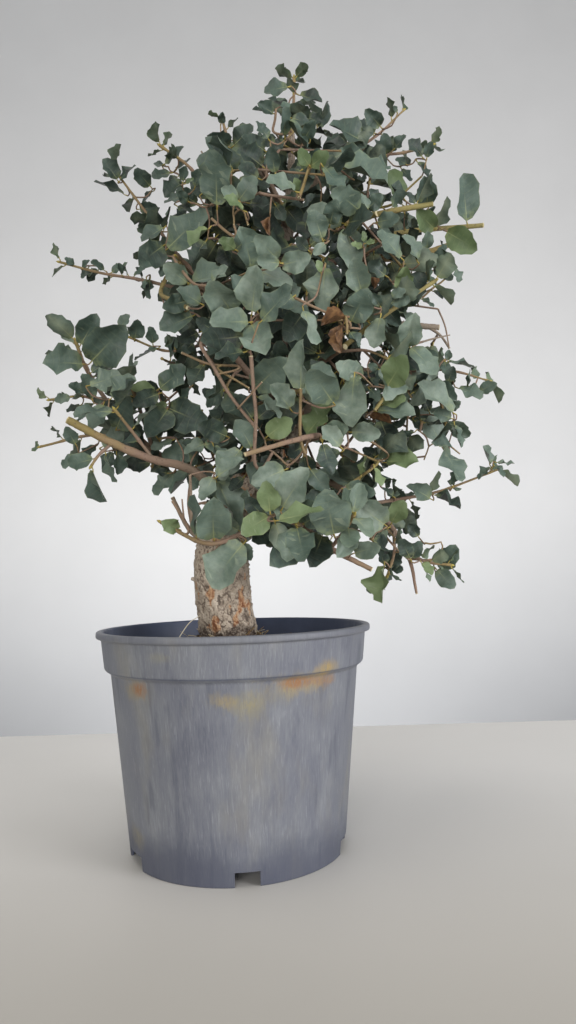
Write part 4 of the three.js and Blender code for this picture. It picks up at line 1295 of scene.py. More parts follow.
# Each leaf: where its blade starts and ends in the picture, how wide it looks there beside a leaf seen flat,
# and its kind: y young, d deep in the crown and dark by painted shade, p pale, partly by painted light,
# u showing its underside, x dead, or none.
LEAVES_ON_CROWN = [
    # top sprig and top left
    (287, 87, 264, 91, 0.8), (288, 109, 269, 97, 0.45, "d"), (273, 113, 258, 104, 0.9),
    (266, 111, 252, 110, 0.7, "d"), (285, 135, 284, 110, 0.6, "p"), (292, 106, 309, 113, 0.9, "d"),
    (300, 95, 322, 103, 0.7, "d"), (288, 121, 304, 147, 0.5, "p"), (292, 118, 309, 123, 0.9),
    (305, 138, 314, 122, 1.1), (234, 145, 252, 128, 0.9), (236, 138, 251, 126, 0.8),
    (221, 123, 223, 113, 1.2), (228, 147, 211, 138, 1.5), (228, 150, 270, 168, 0.7, "p"),
    (217, 205, 216, 157, 0.95), (202, 193, 214, 180, 0.6, "y"), (239, 200, 255, 178, 1.0, "p"),
    (237, 200, 222, 189, 0.9, "p"), (243, 210, 224, 200, 0.5, "y"), (295, 191, 267, 181, 0.45, "p"),
    (297, 191, 295, 179, 0.8, "y"), (309, 165, 299, 151, 1.1, "y"), (310, 165, 319, 150, 1.1),
    (308, 166, 297, 163, 0.8, "y"), (300, 171, 285, 181, 1.0, "d"), (275, 172, 271, 149, 1.0),
    (280, 181, 296, 143, 0.9, "d"), (275, 141, 258, 141, 0.9, "d"), (284, 140, 272, 150, 0.9),
    (250, 203, 270, 204, 0.8, "d"), (276, 206, 285, 219, 1.1, "d"), (318, 208, 306, 222, 1.1, "d"),
    (195, 186, 199, 170, 0.9), (183, 181, 186, 167, 0.9), (186, 183, 194, 179, 0.7, "y"),
    (168, 248, 206, 211, 0.85), (188, 201, 178, 192, 1.1), (208, 229, 190, 245, 0.4, "y"),
    (163, 246, 139, 262, 1.3, "d"), (174, 264, 160, 276, 0.7), (235, 249, 220, 239, 0.9, "y"),
    (236, 249, 255, 233, 1.15), (277, 259, 257, 237, 1.1, "p"), (279, 263, 257, 261, 1.0, "p"),
    (282, 265, 310, 258, 1.05, "p"), (187, 301, 163, 306, 1.1), (200, 303, 178, 290, 0.9),
    (189, 309, 205, 296, 0.5, "p"), (231, 311, 213, 283, 1.35, "p"), (252, 311, 258, 268, 0.95, "p"),
    (246, 296, 232, 277, 0.9), (212, 281, 228, 267, 0.5, "p"), (257, 310, 251, 293, 0.9, "y"),
    (258, 309, 266, 293, 0.9, "y"), (262, 320, 290, 290, 0.8), (248, 322, 210, 322, 0.8, "p"),
    (252, 325, 265, 354, 1.5, "p"), (243, 336, 201, 342, 1.1, "d"), (268, 285, 288, 272, 1.1, "d"),
    (192, 316, 160, 330, 0.85), (213, 330, 196, 320, 1.0, "d"), (198, 333, 178, 341, 1.0, "d"),
    (193, 343, 182, 354, 1.1, "d"), (270, 217, 270, 234, 0.9, "x"), (262, 166, 242, 150, 0.8, "d"),
    (264, 150, 244, 136, 0.9), (258, 178, 240, 168, 0.7, "d"), (268, 138, 258, 122, 0.8, "p"),
    (250, 160, 232, 160, 0.8), (178, 206, 196, 214, 0.5, "d"), (182, 196, 164, 204, 0.6),
    (205, 242, 190, 262, 0.8, "d"), (163, 228, 142, 242, 0.7), (212, 452, 200, 440, 0.8, "d"),
    (214, 446, 222, 462, 0.7), (176, 322, 188, 334, 0.8, "d"),
    # top right
    (380, 126, 367, 110, 1.1), (373, 132, 357, 122, 0.4, "d"), (397, 112, 394, 106, 0.9),
    (363, 142, 333, 123, 0.65), (349, 146, 325, 142, 0.35, "d"), (345, 143, 322, 148, 0.8),
    (363, 159, 341, 151, 0.9, "p"), (368, 158, 364, 144, 0.6), (355, 160, 342, 158, 0.9, "d"),
    (361, 164, 351, 156, 0.6, "y"), (367, 162, 390, 169, 0.6, "p"), (342, 168, 389, 178, 0.45, "p"),
    (404, 198, 388, 173, 0.8, "y"), (386, 154, 384, 136, 1.1), (381, 151, 375, 140, 0.7, "d"),
    (395, 148, 405, 137, 0.9), (422, 156, 410, 140, 0.6, "d"), (427, 157, 430, 143, 1.0),
    (418, 162, 430, 176, 0.4, "d"), (402, 169, 411, 181, 0.8, "d"), (406, 164, 396, 158, 0.8),
    (428, 204, 425, 179, 1.15), (421, 203, 417, 194, 1.1), (415, 203, 407, 192, 0.8, "d"),
    (402, 204, 395, 195, 0.9, "d"), (434, 228, 415, 211, 1.2, "y"), (430, 215, 434, 207, 0.8),
    (324, 167, 343, 189, 0.6, "p"), (359, 210, 334, 189, 1.2, "p"), (362, 192, 345, 176, 1.0, "d"),
    (367, 209, 382, 196, 1.0), (368, 209, 361, 195, 0.8, "p"), (380, 213, 356, 222, 1.15, "y"),
    (378, 222, 399, 217, 1.1), (380, 227, 392, 240, 0.9), (330, 224, 336, 203, 1.2),
    (322, 238, 314, 212, 1.0), (311, 166, 328, 153, 1.1, "y"), (308, 118, 323, 122, 0.8, "d"),
    (310, 139, 312, 122, 0.9), (405, 228, 408, 214, 0.6), (308, 250, 296, 238, 1.0, "d"),
    (323, 239, 309, 226, 1.1), (325, 244, 313, 254, 1.0, "p"), (321, 272, 317, 261, 0.8, "y"),
    (322, 272, 329, 266, 0.8), (325, 268, 320, 310, 0.9, "p"), (337, 304, 338, 279, 0.4, "d"),
    (362, 292, 352, 260, 1.0, "p"), (351, 321, 366, 293, 1.2), (380, 306, 373, 293, 1.0),
    (391, 297, 404, 289, 0.8), (401, 289, 408, 267, 1.2, "y"), (396, 288, 387, 276, 0.8, "d"),
    (409, 268, 399, 257, 1.0), (391, 303, 410, 300, 0.8), (388, 311, 401, 325, 1.1, "d"),
    (380, 318, 374, 347, 0.9, "p"), (405, 345, 414, 315, 1.1, "p"), (402, 357, 388, 342, 0.6, "p"),
    (343, 325, 341, 352, 0.7, "x"), (304, 311, 315, 344, 0.5, "p"), (293, 297, 280, 306, 1.4),
    (304, 312, 285, 338, 1.1, "d"), (350, 332, 359, 346, 0.7), (382, 352, 370, 362, 0.9, "d"),
    (400, 257, 376, 252, 0.7, "d"), (385, 275, 368, 262, 0.9, "d"), (401, 257, 380, 231, 0.55, "p"),
    (417, 260, 403, 237, 0.6, "p"), (362, 247, 351, 243, 0.9, "y"), (364, 242, 363, 232, 0.7, "y"),
    (366, 243, 375, 242, 0.7, "y"), (370, 278, 375, 288, 0.6, "x"), (345, 318, 322, 325, 0.8, "x"),
    (447, 232, 478, 249, 1.0, "y"), (467, 221, 461, 178, 0.62), (427, 248, 428, 232, 1.1, "p"),
    (426, 269, 416, 245, 0.9, "y"), (438, 262, 441, 247, 1.1), (446, 261, 442, 241, 0.5, "d"),
    (439, 263, 455, 268, 0.8), (455, 268, 461, 281, 0.5), (442, 272, 453, 279, 0.9),
    (434, 268, 441, 276, 0.9), (428, 275, 439, 289, 0.3), (433, 291, 443, 299, 0.3, "d"),
    (422, 299, 434, 307, 0.4), (382, 206, 370, 190, 0.8), (380, 196, 396, 204, 0.7, "d"),
    (352, 178, 340, 168, 0.9, "p"), (310, 330, 318, 316, 0.9, "d"),
    # bottom left
    (214, 398, 203, 389, 1.0, "d"), (183, 401, 190, 388, 0.5, "d"), (160, 388, 186, 367, 0.9, "d"),
    (167, 404, 154, 410, 0.9, "y"), (168, 408, 206, 424, 1.15, "d"), (167, 410, 150, 436, 1.2, "d"),
    (226, 436, 200, 424, 1.1, "d"), (204, 444, 184, 452, 0.9), (205, 445, 228, 440, 0.9),
    (172, 440, 152, 450, 0.4), (167, 473, 156, 471, 1.1, "d"), (240, 450, 218, 478, 0.9, "p"),
    (251, 447, 238, 420, 0.9), (252, 418, 236, 396, 0.9, "d"), (258, 418, 276, 402, 1.0, "d"),
    (258, 397, 282, 416, 0.45, "p"), (290, 408, 273, 384, 0.9, "p"), (268, 436, 289, 418, 1.1, "y"),
    (256, 388, 286, 357, 1.15), (284, 470, 252, 484, 1.0, "p"), (243, 352, 216, 356, 0.7, "d"),
    (196, 452, 162, 454, 1.0), (173, 472, 153, 495, 0.8), (184, 471, 172, 489, 0.7, "d"),
    (190, 485, 193, 473, 0.9, "d"), (199, 476, 191, 490, 0.8), (155, 391, 131, 389, 0.9, "y"),
    (158, 394, 133, 403, 1.0, "d"),
    # bottom right
    (301, 389, 301, 341, 0.75, "p"), (333, 402, 312, 372, 1.25), (308, 400, 322, 397, 1.0, "d"),
    (307, 434, 331, 404, 0.75, "y"), (340, 446, 322, 427, 0.9, "p"), (362, 377, 337, 362, 1.0, "p"),
    (354, 377, 349, 425, 0.85, "p"), (352, 432, 381, 432, 1.0, "p"), (388, 385, 404, 359, 1.25, "y"),
    (393, 385, 416, 377, 0.8, "u"), (383, 404, 406, 397, 0.7, "y"), (378, 411, 415, 411, 0.6),
    (380, 420, 394, 452, 1.0, "d"), (387, 462, 417, 459, 0.7, "y"), (361, 475, 366, 456, 0.5, "y"),
    (376, 466, 380, 437, 0.35), (375, 468, 382, 486, 0.5, "y"), (402, 446, 414, 431, 0.7, "d"),
    (375, 456, 363, 448, 1.0, "d"), (378, 369, 368, 365, 1.0), (370, 378, 378, 390, 0.8, "d"),
    (340, 452, 320, 462, 0.8), (370, 389, 380, 400, 0.8), (370, 418, 392, 421, 0.5, "x"),
    (411, 348, 438, 371, 0.65, "p"), (436, 365, 424, 349, 1.0), (445, 362, 447, 376, 1.1),
    (448, 382, 453, 367, 1.0, "d"), (437, 385, 458, 399, 1.1, "d"), (453, 412, 418, 385, 0.5, "p"),
    (450, 408, 460, 402, 1.2), (429, 411, 421, 393, 0.9, "d"), (451, 418, 434, 412, 0.9),
    (442, 446, 422, 406, 0.6, "p"), (441, 443, 460, 482, 0.38), (414, 420, 422, 430, 0.8, "d"),
    (414, 432, 400, 445, 0.6, "d"), (455, 425, 460, 448, 0.35), (424, 372, 412, 361, 0.9, "d"),
    (417, 384, 428, 374, 0.9, "d"),
]
# The same with the depth that a group stands at (its y in mm), for what hangs outside the egg.
LEAVES_AT_DEPTH = {
    -74: [
        (214, 538, 211, 501, 1.3), (213, 477, 202, 501, 0.95, "p"), (217, 482, 243, 531, 0.6, "p"),
        (218, 476, 243, 458, 0.8, "p"), (243, 478, 231, 492, 0.9, "d"), (279, 484, 246, 466, 1.0),
        (243, 544, 208, 583, 0.9, "p"), (243, 544, 250, 561, 1.1), (240, 543, 228, 540, 0.9),
        (262, 515, 247, 498, 1.1, "d"), (178, 529, 163, 521, 1.3, "y"),
    ],
    -92: [
        (270, 511, 267, 483, 1.1, "y"), (268, 517, 241, 532, 1.1, "y"), (279, 520, 322, 511, 0.6, "y"),
        (280, 521, 321, 536, 0.7, "y"), (275, 523, 286, 554, 1.0, "u"), (283, 507, 305, 468, 0.95, "p"),
    ],
    -66: [
        (280, 478, 262, 457, 1.1, "d"), (311, 470, 327, 493, 1.0), (327, 499, 296, 505, 0.8),
        (296, 535, 276, 563, 1.45, "d"), (322, 536, 312, 565, 1.4, "d"), (330, 531, 312, 513, 1.1),
        (334, 534, 326, 495, 1.4), (346, 489, 376, 492, 1.0), (384, 524, 354, 503, 1.2, "p"),
        (353, 534, 338, 558, 1.1, "p"), (355, 553, 380, 545, 1.1, "p"), (330, 540, 318, 560, 1.0, "d"),
    ],
    -40: [
        (392, 522, 404, 500, 1.2, "y"), (387, 529, 370, 540, 0.8, "u"), (385, 565, 404, 552, 1.2, "d"),
        (386, 567, 404, 570, 0.7, "d"), (384, 564, 379, 546, 0.8, "d"), (384, 566, 381, 603, 0.65, "y"),
        (410, 558, 402, 539, 1.0, "d"), (412, 558, 421, 541, 1.0, "d"),
    ],
    -15: [
        (418, 536, 409, 524, 1.0, "d"), (441, 569, 456, 545, 1.1), (437, 570, 454, 588, 1.0),
        (422, 563, 432, 575, 0.8, "y"), (430, 498, 408, 484, 0.9), (435, 495, 460, 506, 0.35, "d"),
        (386, 488, 391, 480, 0.9, "d"), (393, 496, 382, 488, 0.8, "d"), (448, 360, 449, 350, 1.0),
        (448, 362, 476, 364, 0.25), (459, 388, 483, 394, 0.5), (468, 387, 471, 369, 0.4),
        (480, 391, 496, 383, 1.0), (453, 485, 458, 470, 0.7),
    ],
    -30: [
        (92, 361, 123, 327, 1.15), (81, 344, 98, 316, 1.0), (82, 364, 45, 361, 0.85),
        (90, 385, 120, 376, 0.7, "p"), (92, 372, 109, 362, 0.9), (92, 398, 84, 374, 0.9),
        (112, 397, 131, 375, 0.6), (117, 427, 128, 400, 1.25, "d"), (133, 425, 131, 449, 1.0, "d"),
        (103, 405, 93, 429, 0.9), (92, 412, 76, 422, 0.6), (75, 443, 65, 427, 1.1),
        (103, 446, 128, 428, 0.7, "p"), (84, 392, 70, 384, 0.9),
    ],
    -12: [
        (112, 452, 103, 471, 0.9, "d"), (117, 455, 120, 474, 0.7), (75, 456, 62, 467, 0.8),
        (96, 446, 84, 458, 0.7, "d"),
    ],
    -4: [
        (490, 464, 482, 446, 0.3), (491, 468, 478, 478, 0.5), (495, 466, 504, 476, 0.4),
        (497, 462, 514, 464, 0.25, "p"),
    ],
    2: [
        (74, 265, 66, 258, 0.9), (83, 268, 90, 260, 0.7), (88, 268, 82, 279, 0.9, "d"),
        (98, 270, 88, 282, 0.8, "d"), (104, 270, 92, 262, 0.5), (112, 272, 122, 264, 0.9),
        (122, 274, 118, 264, 0.8), (134, 276, 146, 268, 0.4), (142, 277, 136, 268, 0.5, "d"),
        (150, 279, 149, 298, 0.7, "d"), (146, 279, 145, 288, 0.7), (135, 338, 138, 322, 1.3),
        (153, 343, 151, 327, 0.9), (121, 328, 128, 314, 0.8), (157, 348, 134, 359, 0.3),
        (70, 397, 55, 401, 0.9), (80, 405, 67, 412, 0.5, "d"), (117, 179, 105, 161, 0.9),
        (120, 180, 133, 164, 0.45), (124, 194, 98, 180, 0.3, "d"), (140, 209, 157, 208, 1.0),
        (155, 228, 138, 226, 0.9), (153, 191, 142, 203, 0.4, "d"), (150, 186, 137, 170, 1.1),
        (170, 173, 152, 177, 0.6), (165, 163, 184, 147, 0.45), (176, 170, 191, 159, 0.45),
        (166, 166, 154, 163, 0.5), (183, 178, 186, 168, 1.0), (177, 177, 167, 186, 0.35, "d"),
        (183, 183, 164, 195, 0.7), (197, 203, 177, 192, 1.0), (172, 228, 186, 208, 0.6, "d"),
    ],
}
# Twigs of the photo: places in the picture, the share of the egg or depth, radii at the ends, ages.
TWIGS_ON_CROWN = [
    ([(276, 109), (275, 120), (273, 131)], 0.9, 0.9, 0.9, 0.5),
    ([(210, 164), (205, 157), (201, 151)], 0.95, 0.8, 0.6, 0.9),
    ([(206, 207), (193, 203), (180, 201)], 0.95, 0.9, 0.6, 0.5),
    ([(259, 193), (248, 198), (237, 203)], 0.98, 0.8, 0.7, 0.5),
    ([(233, 210), (234, 218), (234, 225)], 1.0, 0.7, 0.6, 0.4),
    ([(243, 210), (246, 218), (248, 225)], 1.0, 0.7, 0.6, 0.4),
    ([(278, 179), (274, 168), (269, 158)], 0.98, 0.7, 0.5, 0.5),
    ([(393, 204), (402, 195), (408, 189), (422, 176)], 0.95, 1.0, 0.7, 0.2),
    ([(273, 452), (281, 459), (289, 465)], 1.05, 0.8, 0.7, 0.5),
    ([(350, 328), (355, 328), (360, 329)], 1.0, 0.7, 0.6, 0.5),
    ([(201, 345), (212.5, 365), (230, 395), (255, 427)], 1.1, 1.5, 1.0, 0.62),
    ([(251, 356), (253.6, 390), (256, 416), (254.5, 461)], 1.12, 1.3, 1.0, 0.62),
    ([(182, 353), (209, 364), (237, 366)], 1.02, 0.9, 0.7, 0.45),
    ([(220, 371), (234, 379), (249, 388)], 1.05, 0.9, 0.7, 0.4),
    ([(241, 405), (251, 394), (262, 382)], 1.13, 0.6, 0.5, 0.5),
    ([(161, 294), (175, 301), (188, 308)], 1.05, 1.7, 1.6, 0.25),
    ([(293, 297), (314, 307), (330, 314), (344, 318)], 1.03, 0.9, 0.8, 0.5),
    ([(346, 318), (347, 326), (347, 334)], 1.06, 0.9, 0.8, 0.35),
    ([(274, 196), (290, 198), (304, 200)], 0.97, 1.1, 0.9, 0.6),
    ([(299, 198), (304, 184), (309, 167)], 1.02, 1.1, 0.8, 0.3),
    ([(301, 388), (300, 434), (304, 451)], 1.1, 1.0, 0.9, 0.4),
    ([(375, 410), (385, 396), (396, 378)], 1.08, 1.1, 0.9, 0.15),
    ([(212, 219), (223, 229), (233, 236)], 0.96, 1.0, 0.8, 0.45),
    ([(178, 265), (193, 283), (207, 286)], 1.0, 1.2, 0.9, 0.5),
    ([(367, 439), (378, 446), (388, 454)], 1.05, 0.8, 0.7, 0.45),
    ([(346, 487), (366, 473), (376, 465)], 1.0, 1.1, 0.8, 0.25),
]
# Twigs outside the egg, by the depth that they stand at.
TWIGS_AT_DEPTH = {
    -78: [
        ([(188, 527), (180, 514), (172, 501)], 0.9, 0.7, 0.5),
        ([(184, 520), (183, 510), (182, 499)], 0.7, 0.5, 0.6),
        ([(192, 529), (191, 502), (190, 475)], 1.3, 0.9, 0.8),
    ],
    -38: [
        ([(386, 528), (394, 537), (400, 547)], 0.8, 0.6, 0.4),
        ([(387, 538), (398, 550), (409, 560)], 0.9, 0.7, 0.5),
    ],
    -18: [
        ([(410, 559), (426, 560), (440, 558)], 0.8, 0.6, 0.5),
        ([(425, 543), (433, 544), (441, 542)], 0.7, 0.5, 0.4),
        ([(402, 288), (421, 277), (440, 267)], 1.0, 0.7, 0.5),
        ([(422, 298), (433, 288), (445, 279)], 0.8, 0.6, 0.4),
        ([(408, 305), (424, 307), (438, 309)], 0.9, 0.7, 0.6),
        ([(438, 309), (445, 326), (449, 347)], 0.7, 0.5, 0.7),
        ([(422, 342), (436, 338), (450, 335)], 0.8, 0.5, 1.0),
        ([(453, 413), (454, 424), (449, 443)], 0.7, 0.5, 0.6),
        ([(449, 445), (455, 450), (460, 454)], 0.7, 0.5, 0.4),
        ([(430, 445), (427, 452), (424, 460)], 0.6, 0.5, 0.4),
    ],
}
# The crown's outline in the picture, without the shoots that stick out of it, and the gaps where the wall
# shows through it, as lowest and highest places. Leaves that only fill the crown keep to them.
CROWN_OUTLINE = [
    (262, 98), (290, 84), (318, 104), (350, 126), (392, 122), (428, 152), (432, 222), (456, 252), (452, 276),
    (432, 300), (430, 340), (452, 368), (460, 410), (452, 446), (440, 500), (416, 536), (396, 560),
    (350, 556), (318, 562), (270, 560), (240, 540), (206, 520), (168, 492), (132, 474), (84, 458), (62, 440),
    (50, 400), (50, 352), (84, 322), (132, 322), (166, 318), (164, 276), (140, 236), (140, 208), (178, 192),
    (204, 166), (208, 138), (246, 132),
]
CROWN_GAPS = [
    (110, 345, 166, 380), (180, 374, 214, 406), (392, 432, 462, 484), (336, 442, 368, 458),
    (330, 530, 372, 575), (412, 312, 452, 345), (305, 444, 320, 458), (322, 464, 336, 478),
    (228, 392, 242, 404), (365, 345, 378, 356), (190, 490, 202, 512), (260, 108, 276, 122),
    (206, 484, 222, 500),
]
# For each kind of leaf, the share of the egg that it stands at, how far behind its depth, and its tone, which
# is painted shade for d and partly painted light for p.
KINDS = {
    "d": (0.86, 9, 0.12), "p": (1.05, -5, 0.75), "y": (1.04, -4, 0.6), "u": (1.0, 0, 0.6),
    "x": (0.96, 0, 0.5), "": (0.98, 0, 0.42),
}


def sight(u, v):
    """The direction from the camera through a place in the picture."""
    return FORWARD + RIGHT * (u - PICTURE[0] / 2) / FOCUS + UP * (PICTURE[1] / 2 - v) / FOCUS


def on_crown(u, v, share):
    """Where a line of sight first meets the crown's egg scaled by share, or passes nearest to it."""
    way = sight(u, v) / CROWN_RADII
    start = (EYE - CROWN_CENTRE) / CROWN_RADII
    a, b, c = way @ way, way @ start, start @ start - share * share
    return EYE + sight(u, v) * (-b - math.sqrt(max(b * b - a * c, 0.0))) / a


def in_picture(points):
    """Where points are in the picture."""
    away = points - EYE
    depth = away @ FORWARD
    return PICTURE[0] / 2 + FOCUS * (away @ RIGHT) / depth, PICTURE[1] / 2 - FOCUS * (away @ UP) / depth


def fits_outline(points):
    """Whether points stay within the crown's outline in the picture and out of its gaps. A point is inside
    when a line from it to the left crosses the outline an odd number of times."""
    u, v = (value[:, None] for value in in_picture(points))
    start_u, start_v = np.array(CROWN_OUTLINE, float).T
    end_u, end_v = np.roll(start_u, -1), np.roll(start_v, -1)
    drop = np.where(end_v == start_v, 1e-9, end_v - start_v)
    crossing = start_u + (v - start_v) / drop * (end_u - start_u)
    crosses = ((start_v > v) != (end_v > v)) & (crossing < u)
    low_u, low_v, high_u, high_v = np.array(CROWN_GAPS).T
    in_gap = (u > low_u) & (u < high_u) & (v > low_v) & (v < high_v)
    return (crosses.sum(axis=1) % 2 == 1).all() and not in_gap.any()


def at_depth(u, v, y):
    """Where a line of sight has this y."""
    way = sight(u, v)
    return EYE + way * (y - EYE[1]) / way[1]


def add_twig(surface, root, tip, arriving, end=0.5, age=0.4):
    """A twig from a stem to a place, which it reaches along the direction given. A longer one is thicker."""
    length = np.linalg.norm(tip - root)
    if length < 1.2:
        return
    points = [root, (root + tip) / 2 - arriving * 0.16 * length - 0.05 * length * Z, tip]
    add_stem(surface, points, min(end + 0.012 * length, 1.3), end, (min(age + 0.3, 1), age), sides=6)
    stems.add(points)


def blade_in_picture(row, start, random):
    """A leaf that looks as it does in the photo. Seen narrow, it is rolled by the angle whose cosine is its
    width, and seen wide, it is tipped at the camera by the angle whose cosine is one over its width."""
    u0, v0, u1, v1, wide, kind = row
    away = start - EYE
    toward = unit(-away)
    flat = (u1 - u0) * RIGHT - (v1 - v0) * UP
    seen = np.linalg.norm(flat) / FOCUS * (away @ FORWARD)
    flat = unit(flat - toward * (flat @ toward))
    tip_over = math.acos(min(1 / wide, 0.97)) if wide > 1 else 0.12 + 0.25 * next(random)
    axis = flat * math.cos(tip_over) + toward * math.sin(tip_over)
    face = unit(toward - axis * (toward @ axis))
    across = np.cross(face, axis)
    roll = math.acos(min(max(wide, 0.25), 0.97)) if wide < 1 else 0.2 * (next(random) - 0.5)
    if across[2] < 0:
        roll = -roll
    face = face * math.cos(roll) + across * math.sin(roll)
    if kind == "u":
        face = -face
    length = seen / math.cos(tip_over)
    # The kind's tone: painted shade for d and partly painted light for p, with some random spread.
    tone = KINDS[kind][2] + 0.3 * (next(random) - 0.5)
    fold, bend = next(random), 0.15 + 0.7 * next(random)
    stalk = min(STALK, 0.2 * length)
    young, dead = 0.75 * (kind == "y"), float(kind == "x")
    form = (axis, np.cross(face, axis), face, length, fold, bend, tone, young, dead, stalk)
    return Blade(start - axis * stalk, *form)


# The steps along a line of sight that a leaf tries, one after another.
SIGHT_STEPS = [0, -3, 3, -6, 6, -9, 9, -12, 12, -16, 16, 20, -20, 25, -25, 30]


def kept_clear(blade):
    """Moves a leaf along the line of sight until it has room. The picture stays almost the same."""
    away = unit(blade.at - EYE)
    home = blade.at
    for step in SIGHT_STEPS:
        blade.at = home + away * step
        if room.is_free(blade_spots(blade)):
            return True
    return False


def add_seen_twigs(twigs):
    """The photo's twigs. One that doesn't start on a stem is led in to the nearest one."""
    rows = [([on_crown(u, v, share) for u, v in places], *look) for places, share, *look in TWIGS_ON_CROWN]
    for y, kept in TWIGS_AT_DEPTH.items():
        rows += [([at_depth(u, v, y) for u, v in places], *look) for places, *look in kept]
    for points, start, end, age in rows:
        root, distance = min((stems.nearest(points[i]) for i in (0, -1)), key=lambda found: found[1])
        if np.linalg.norm(points[-1] - root) < np.linalg.norm(points[0] - root):
            points, start, end = points[::-1], end, start
        if distance > 3:
            inward = points[0] + 0.45 * (root - points[0]) - 0.25 * (points[1] - points[0])
            points = [root, inward] + points
        add_stem(twigs, points, start, end, (age, age), cut=True, sides=8)
        grown(points, [start, end])


def make_seen_leaves():
    """The photo's twigs and leaves. A leaf that finds no room is left out."""
    surface = Surface()
    add_seen_twigs(surface)
    random = draws_from(4242)
    blades = []
    for rows, y in [(LEAVES_ON_CROWN, None)] + [(rows, y) for y, rows in LEAVES_AT_DEPTH.items()]:
        for row in rows:
            row = (*row, "")[:6]
            share, behind, _ = KINDS[row[5]]
            swing = next(random) - 0.5
            if y is None:
                start = on_crown(*row[:2], share + 0.06 * swing)
            else:
                start = at_depth(*row[:2], y + behind + 6 * swing)
            blade = blade_in_picture(row, start, random)
            if kept_clear(blade):
                blades.append(blade)
                room.take(blade_spots(blade, 0.1, 0.8))
    for blade in sorted(blades, key=lambda blade: stems.nearest(blade.at)[1]):
        add_twig(surface, stems.nearest(blade.at)[0], blade.at, blade.axis)
        add_blade(surface, blade)
    own_leaves(surface, "crown_seen")


# The rest of the crown

CROWN_LEAF = (22, 33)
# Parts of the crown: centre, radii and how many twigs with leaves each gets.
CROWN_PARTS = [
    ((50, 2, 378), (88, 92, 158), 120),
    ((118, 0, 335), (50, 48, 108), 26),
    ((-50, 2, 320), (42, 40, 58), 18),
    ((64, -48, 222), (58, 40, 30), 8),
    ((60, 34, 240), (62, 46, 34), 10),
]


def blade_with_room(points, place, shade):
    """The first try for a leaf that has room and stays in the outline, or none."""
    for change in TRIES:
        blade = blade_on(points, place, change)
        spots = blade_spots(blade)
        if room.is_free(spots) and fits_outline(spots):
            # Painted shade: darker deep in the crown and in its hollows.
            blade.shade *= shade * painted_hollow_shade(blade.at)
            room.take(blade_spots(blade, 0.1, 0.8))
            return blade
    return None


def add_crown_twig(surface, tip, reach, draws, leaf_draws):
    """A twig with leaves from the nearest stem to a place in the crown, if any leaf has room there. The
    leaves get painted shade, darker the deeper they stand."""
    root, distance = stems.nearest(tip)
    if distance < 6:
        tip, distance = root + unit(tip - CROWN_CENTRE) * 12, 12.0
    points = bowed(root, tip, (next(draws) - 0.3) * 0.15 * distance)
    places = leaf_places([points, 1.0, 0.7, 2, 3, blended(CROWN_LEAF, next(draws))], leaf_draws)
    # Painted shade, darker the deeper the leaf stands in the crown.
    shade = blended(INNER_PAINTED_SHADES, eased(0.75, 1.0, reach))
    blades = [blade for blade in (blade_with_room(points, place, shade) for place in places) if blade]
    if not blades:
        return
    for blade in blades:
        add_blade(surface, blade)
    knots = [place[0] for place in places]
    add_stem(surface, points, min(0.8 + 0.01 * distance, 1.3), 0.65, SHOOT_AGE, knots, sides=6)
    stems.add(points)


def make_filled_crown():
    """Twigs spread evenly through each part of the crown, most of them near its surface, and fewer in front,
    behind the leaves that the photo shows."""
    seed = 9000
    for number, (centre, radii, count) in enumerate(CROWN_PARTS):
        surface = Surface()
        for i in range(count):
            seed += 1
            draws = draws_from(seed)
            way = egg_way(*spiral_place(i, count))
            reach = (0.35 + 0.65 * next(draws)) ** 0.5 * (1 + 0.25 * min(way[1], 0))
            tip = way * np.array(radii) * reach + np.array(centre)
            add_crown_twig(surface, tip, reach, draws, draws_from(seed))
        own_leaves(surface, f"crown_fill_{number + 1}")


make_pot()
make_soil_bed()
make_litter()
make_wood()
make_shoots()
make_seen_leaves()
make_filled_crown()


# Floor, light and camera


def turned_to(right, up, back, place):
    """The matrix of an object whose own x, y and z have these directions, at a place in metres."""
    return Matrix([*zip(right, up, back, place), (0, 0, 0, 1)])


def make_camera():
    """The photo's camera. Its lens is to the sensor's width as its focus is to the picture's long side."""
    data = bpy.data.cameras.new("camera")
    data.sensor_width = 36.0
    data.lens = FOCUS / max(PICTURE) * data.sensor_width
    data.clip_start, data.clip_end = 0.01, 20.0
    camera = in_scene("camera", data)
    camera.matrix_world = turned_to(RIGHT, UP, -FORWARD, EYE * MM)
    bpy.context.scene.camera = camera


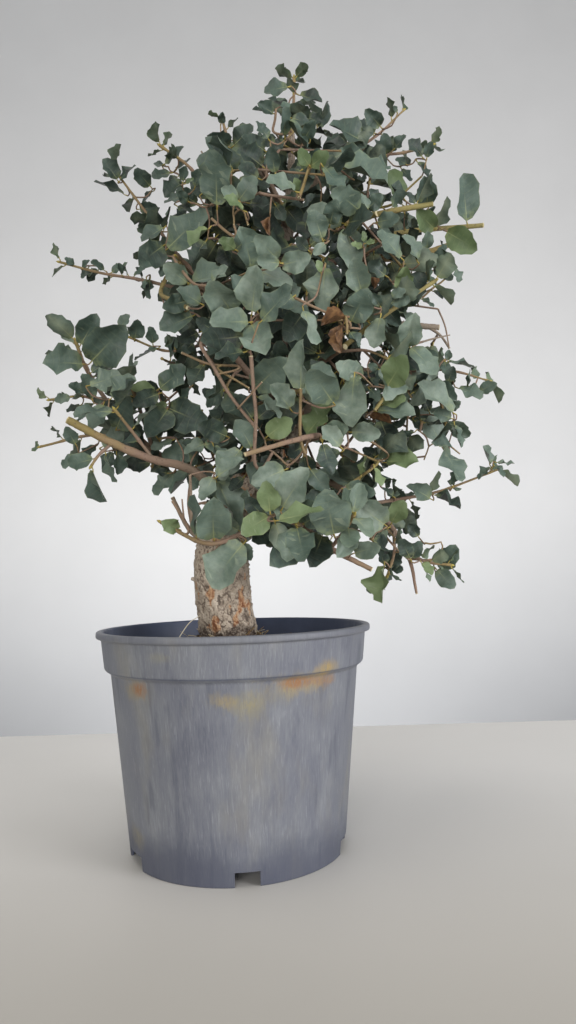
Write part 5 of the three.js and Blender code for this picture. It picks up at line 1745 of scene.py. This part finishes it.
def staged_plane(name, corners, axis, span, painted_shade_ends, roughness):
    """A plain plane with painted shade: its colour goes from the first to the second over a span along an
    axis.
    """
    made, n, place = new_material(name)
    tint = n.mix(n.noise(place, 4.0, 3.0), colour("f4f4f4"), colour("ffffff"))
    # Painted shade: darker at the low end of the span.
    shade = n.mix(n.step(n.part(place, axis), *span), colour(painted_shade_ends[0]), colour(painted_shade_ends[1]))
    n.finish(n.mix(1.0, shade, tint, "MULTIPLY"), roughness)
    mesh = bpy.data.meshes.new(name)
    mesh.from_pydata(corners, [], [list(range(len(corners)))])
    mesh.materials.append(made)
    in_scene(name, mesh)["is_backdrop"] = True


def area_light(name, place, target, size, power, shade):
    """A round lamp at a place, turned to its target."""
    data = bpy.data.lights.new(name, "AREA")
    data.shape, data.size, data.energy, data.color = "DISK", size, power, colour(shade)[:3]
    back = unit(np.array(place, float) - np.array(target, float))
    right = unit(np.cross(Z, back))
    in_scene(name, data).matrix_world = turned_to(right, np.cross(back, right), back, place)


def make_studio():
    """A table, a wall behind it, four lamps and a soft sky, in metres."""
    table = [(-2.5, -2.5, 0), (2.5, -2.5, 0), (2.5, 0.39, 0), (-2.5, 0.39, 0)]
    wall = [(-5, 1.6, -1.5), (5, 1.6, -1.5), (5, 1.6, 4), (-5, 1.6, 4)]
    # Painted shade: the table darker towards the camera, the wall darker low down.
    staged_plane("floor_table", table, 1, (-0.4, 0.2), ("aea99f", "eae8e4"), 0.6)
    staged_plane("backdrop_wall", wall, 2, (-0.35, 0.5), ("b4b5b7", "ededed"), 0.9)
    area_light("light_top", (-0.2, -0.3, 1.5), (0.03, 0, 0.3), 0.9, 5.5, "fff9f2")
    area_light("light_front", (-0.3, -1.8, 0.4), (0.03, 0, 0.28), 1.0, 18, "fffdfa")
    area_light("light_right", (1.4, -0.9, 0.45), (0.03, 0, 0.25), 0.8, 18, "fbfbff")
    area_light("light_wall", (0.03, 0.65, -0.5), (-0.06, 1.6, 0.8), 1.2, 13, "ffffff")
    world = bpy.data.worlds.new("soft_sky")
    world.use_nodes = True
    sky = world.node_tree.nodes["Background"]
    sky.inputs["Color"].default_value = colour("eceef0")
    sky.inputs["Strength"].default_value = 0.4
    bpy.context.scene.world = world


make_camera()
make_studio()
bpy.context.scene.view_settings.view_transform = "Standard"

bpy.context.view_layer.update()
sizes = {"cad": cad_box, "visual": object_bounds()}
{name: [list(corner) for corner in box] for name, box in sizes.items()}
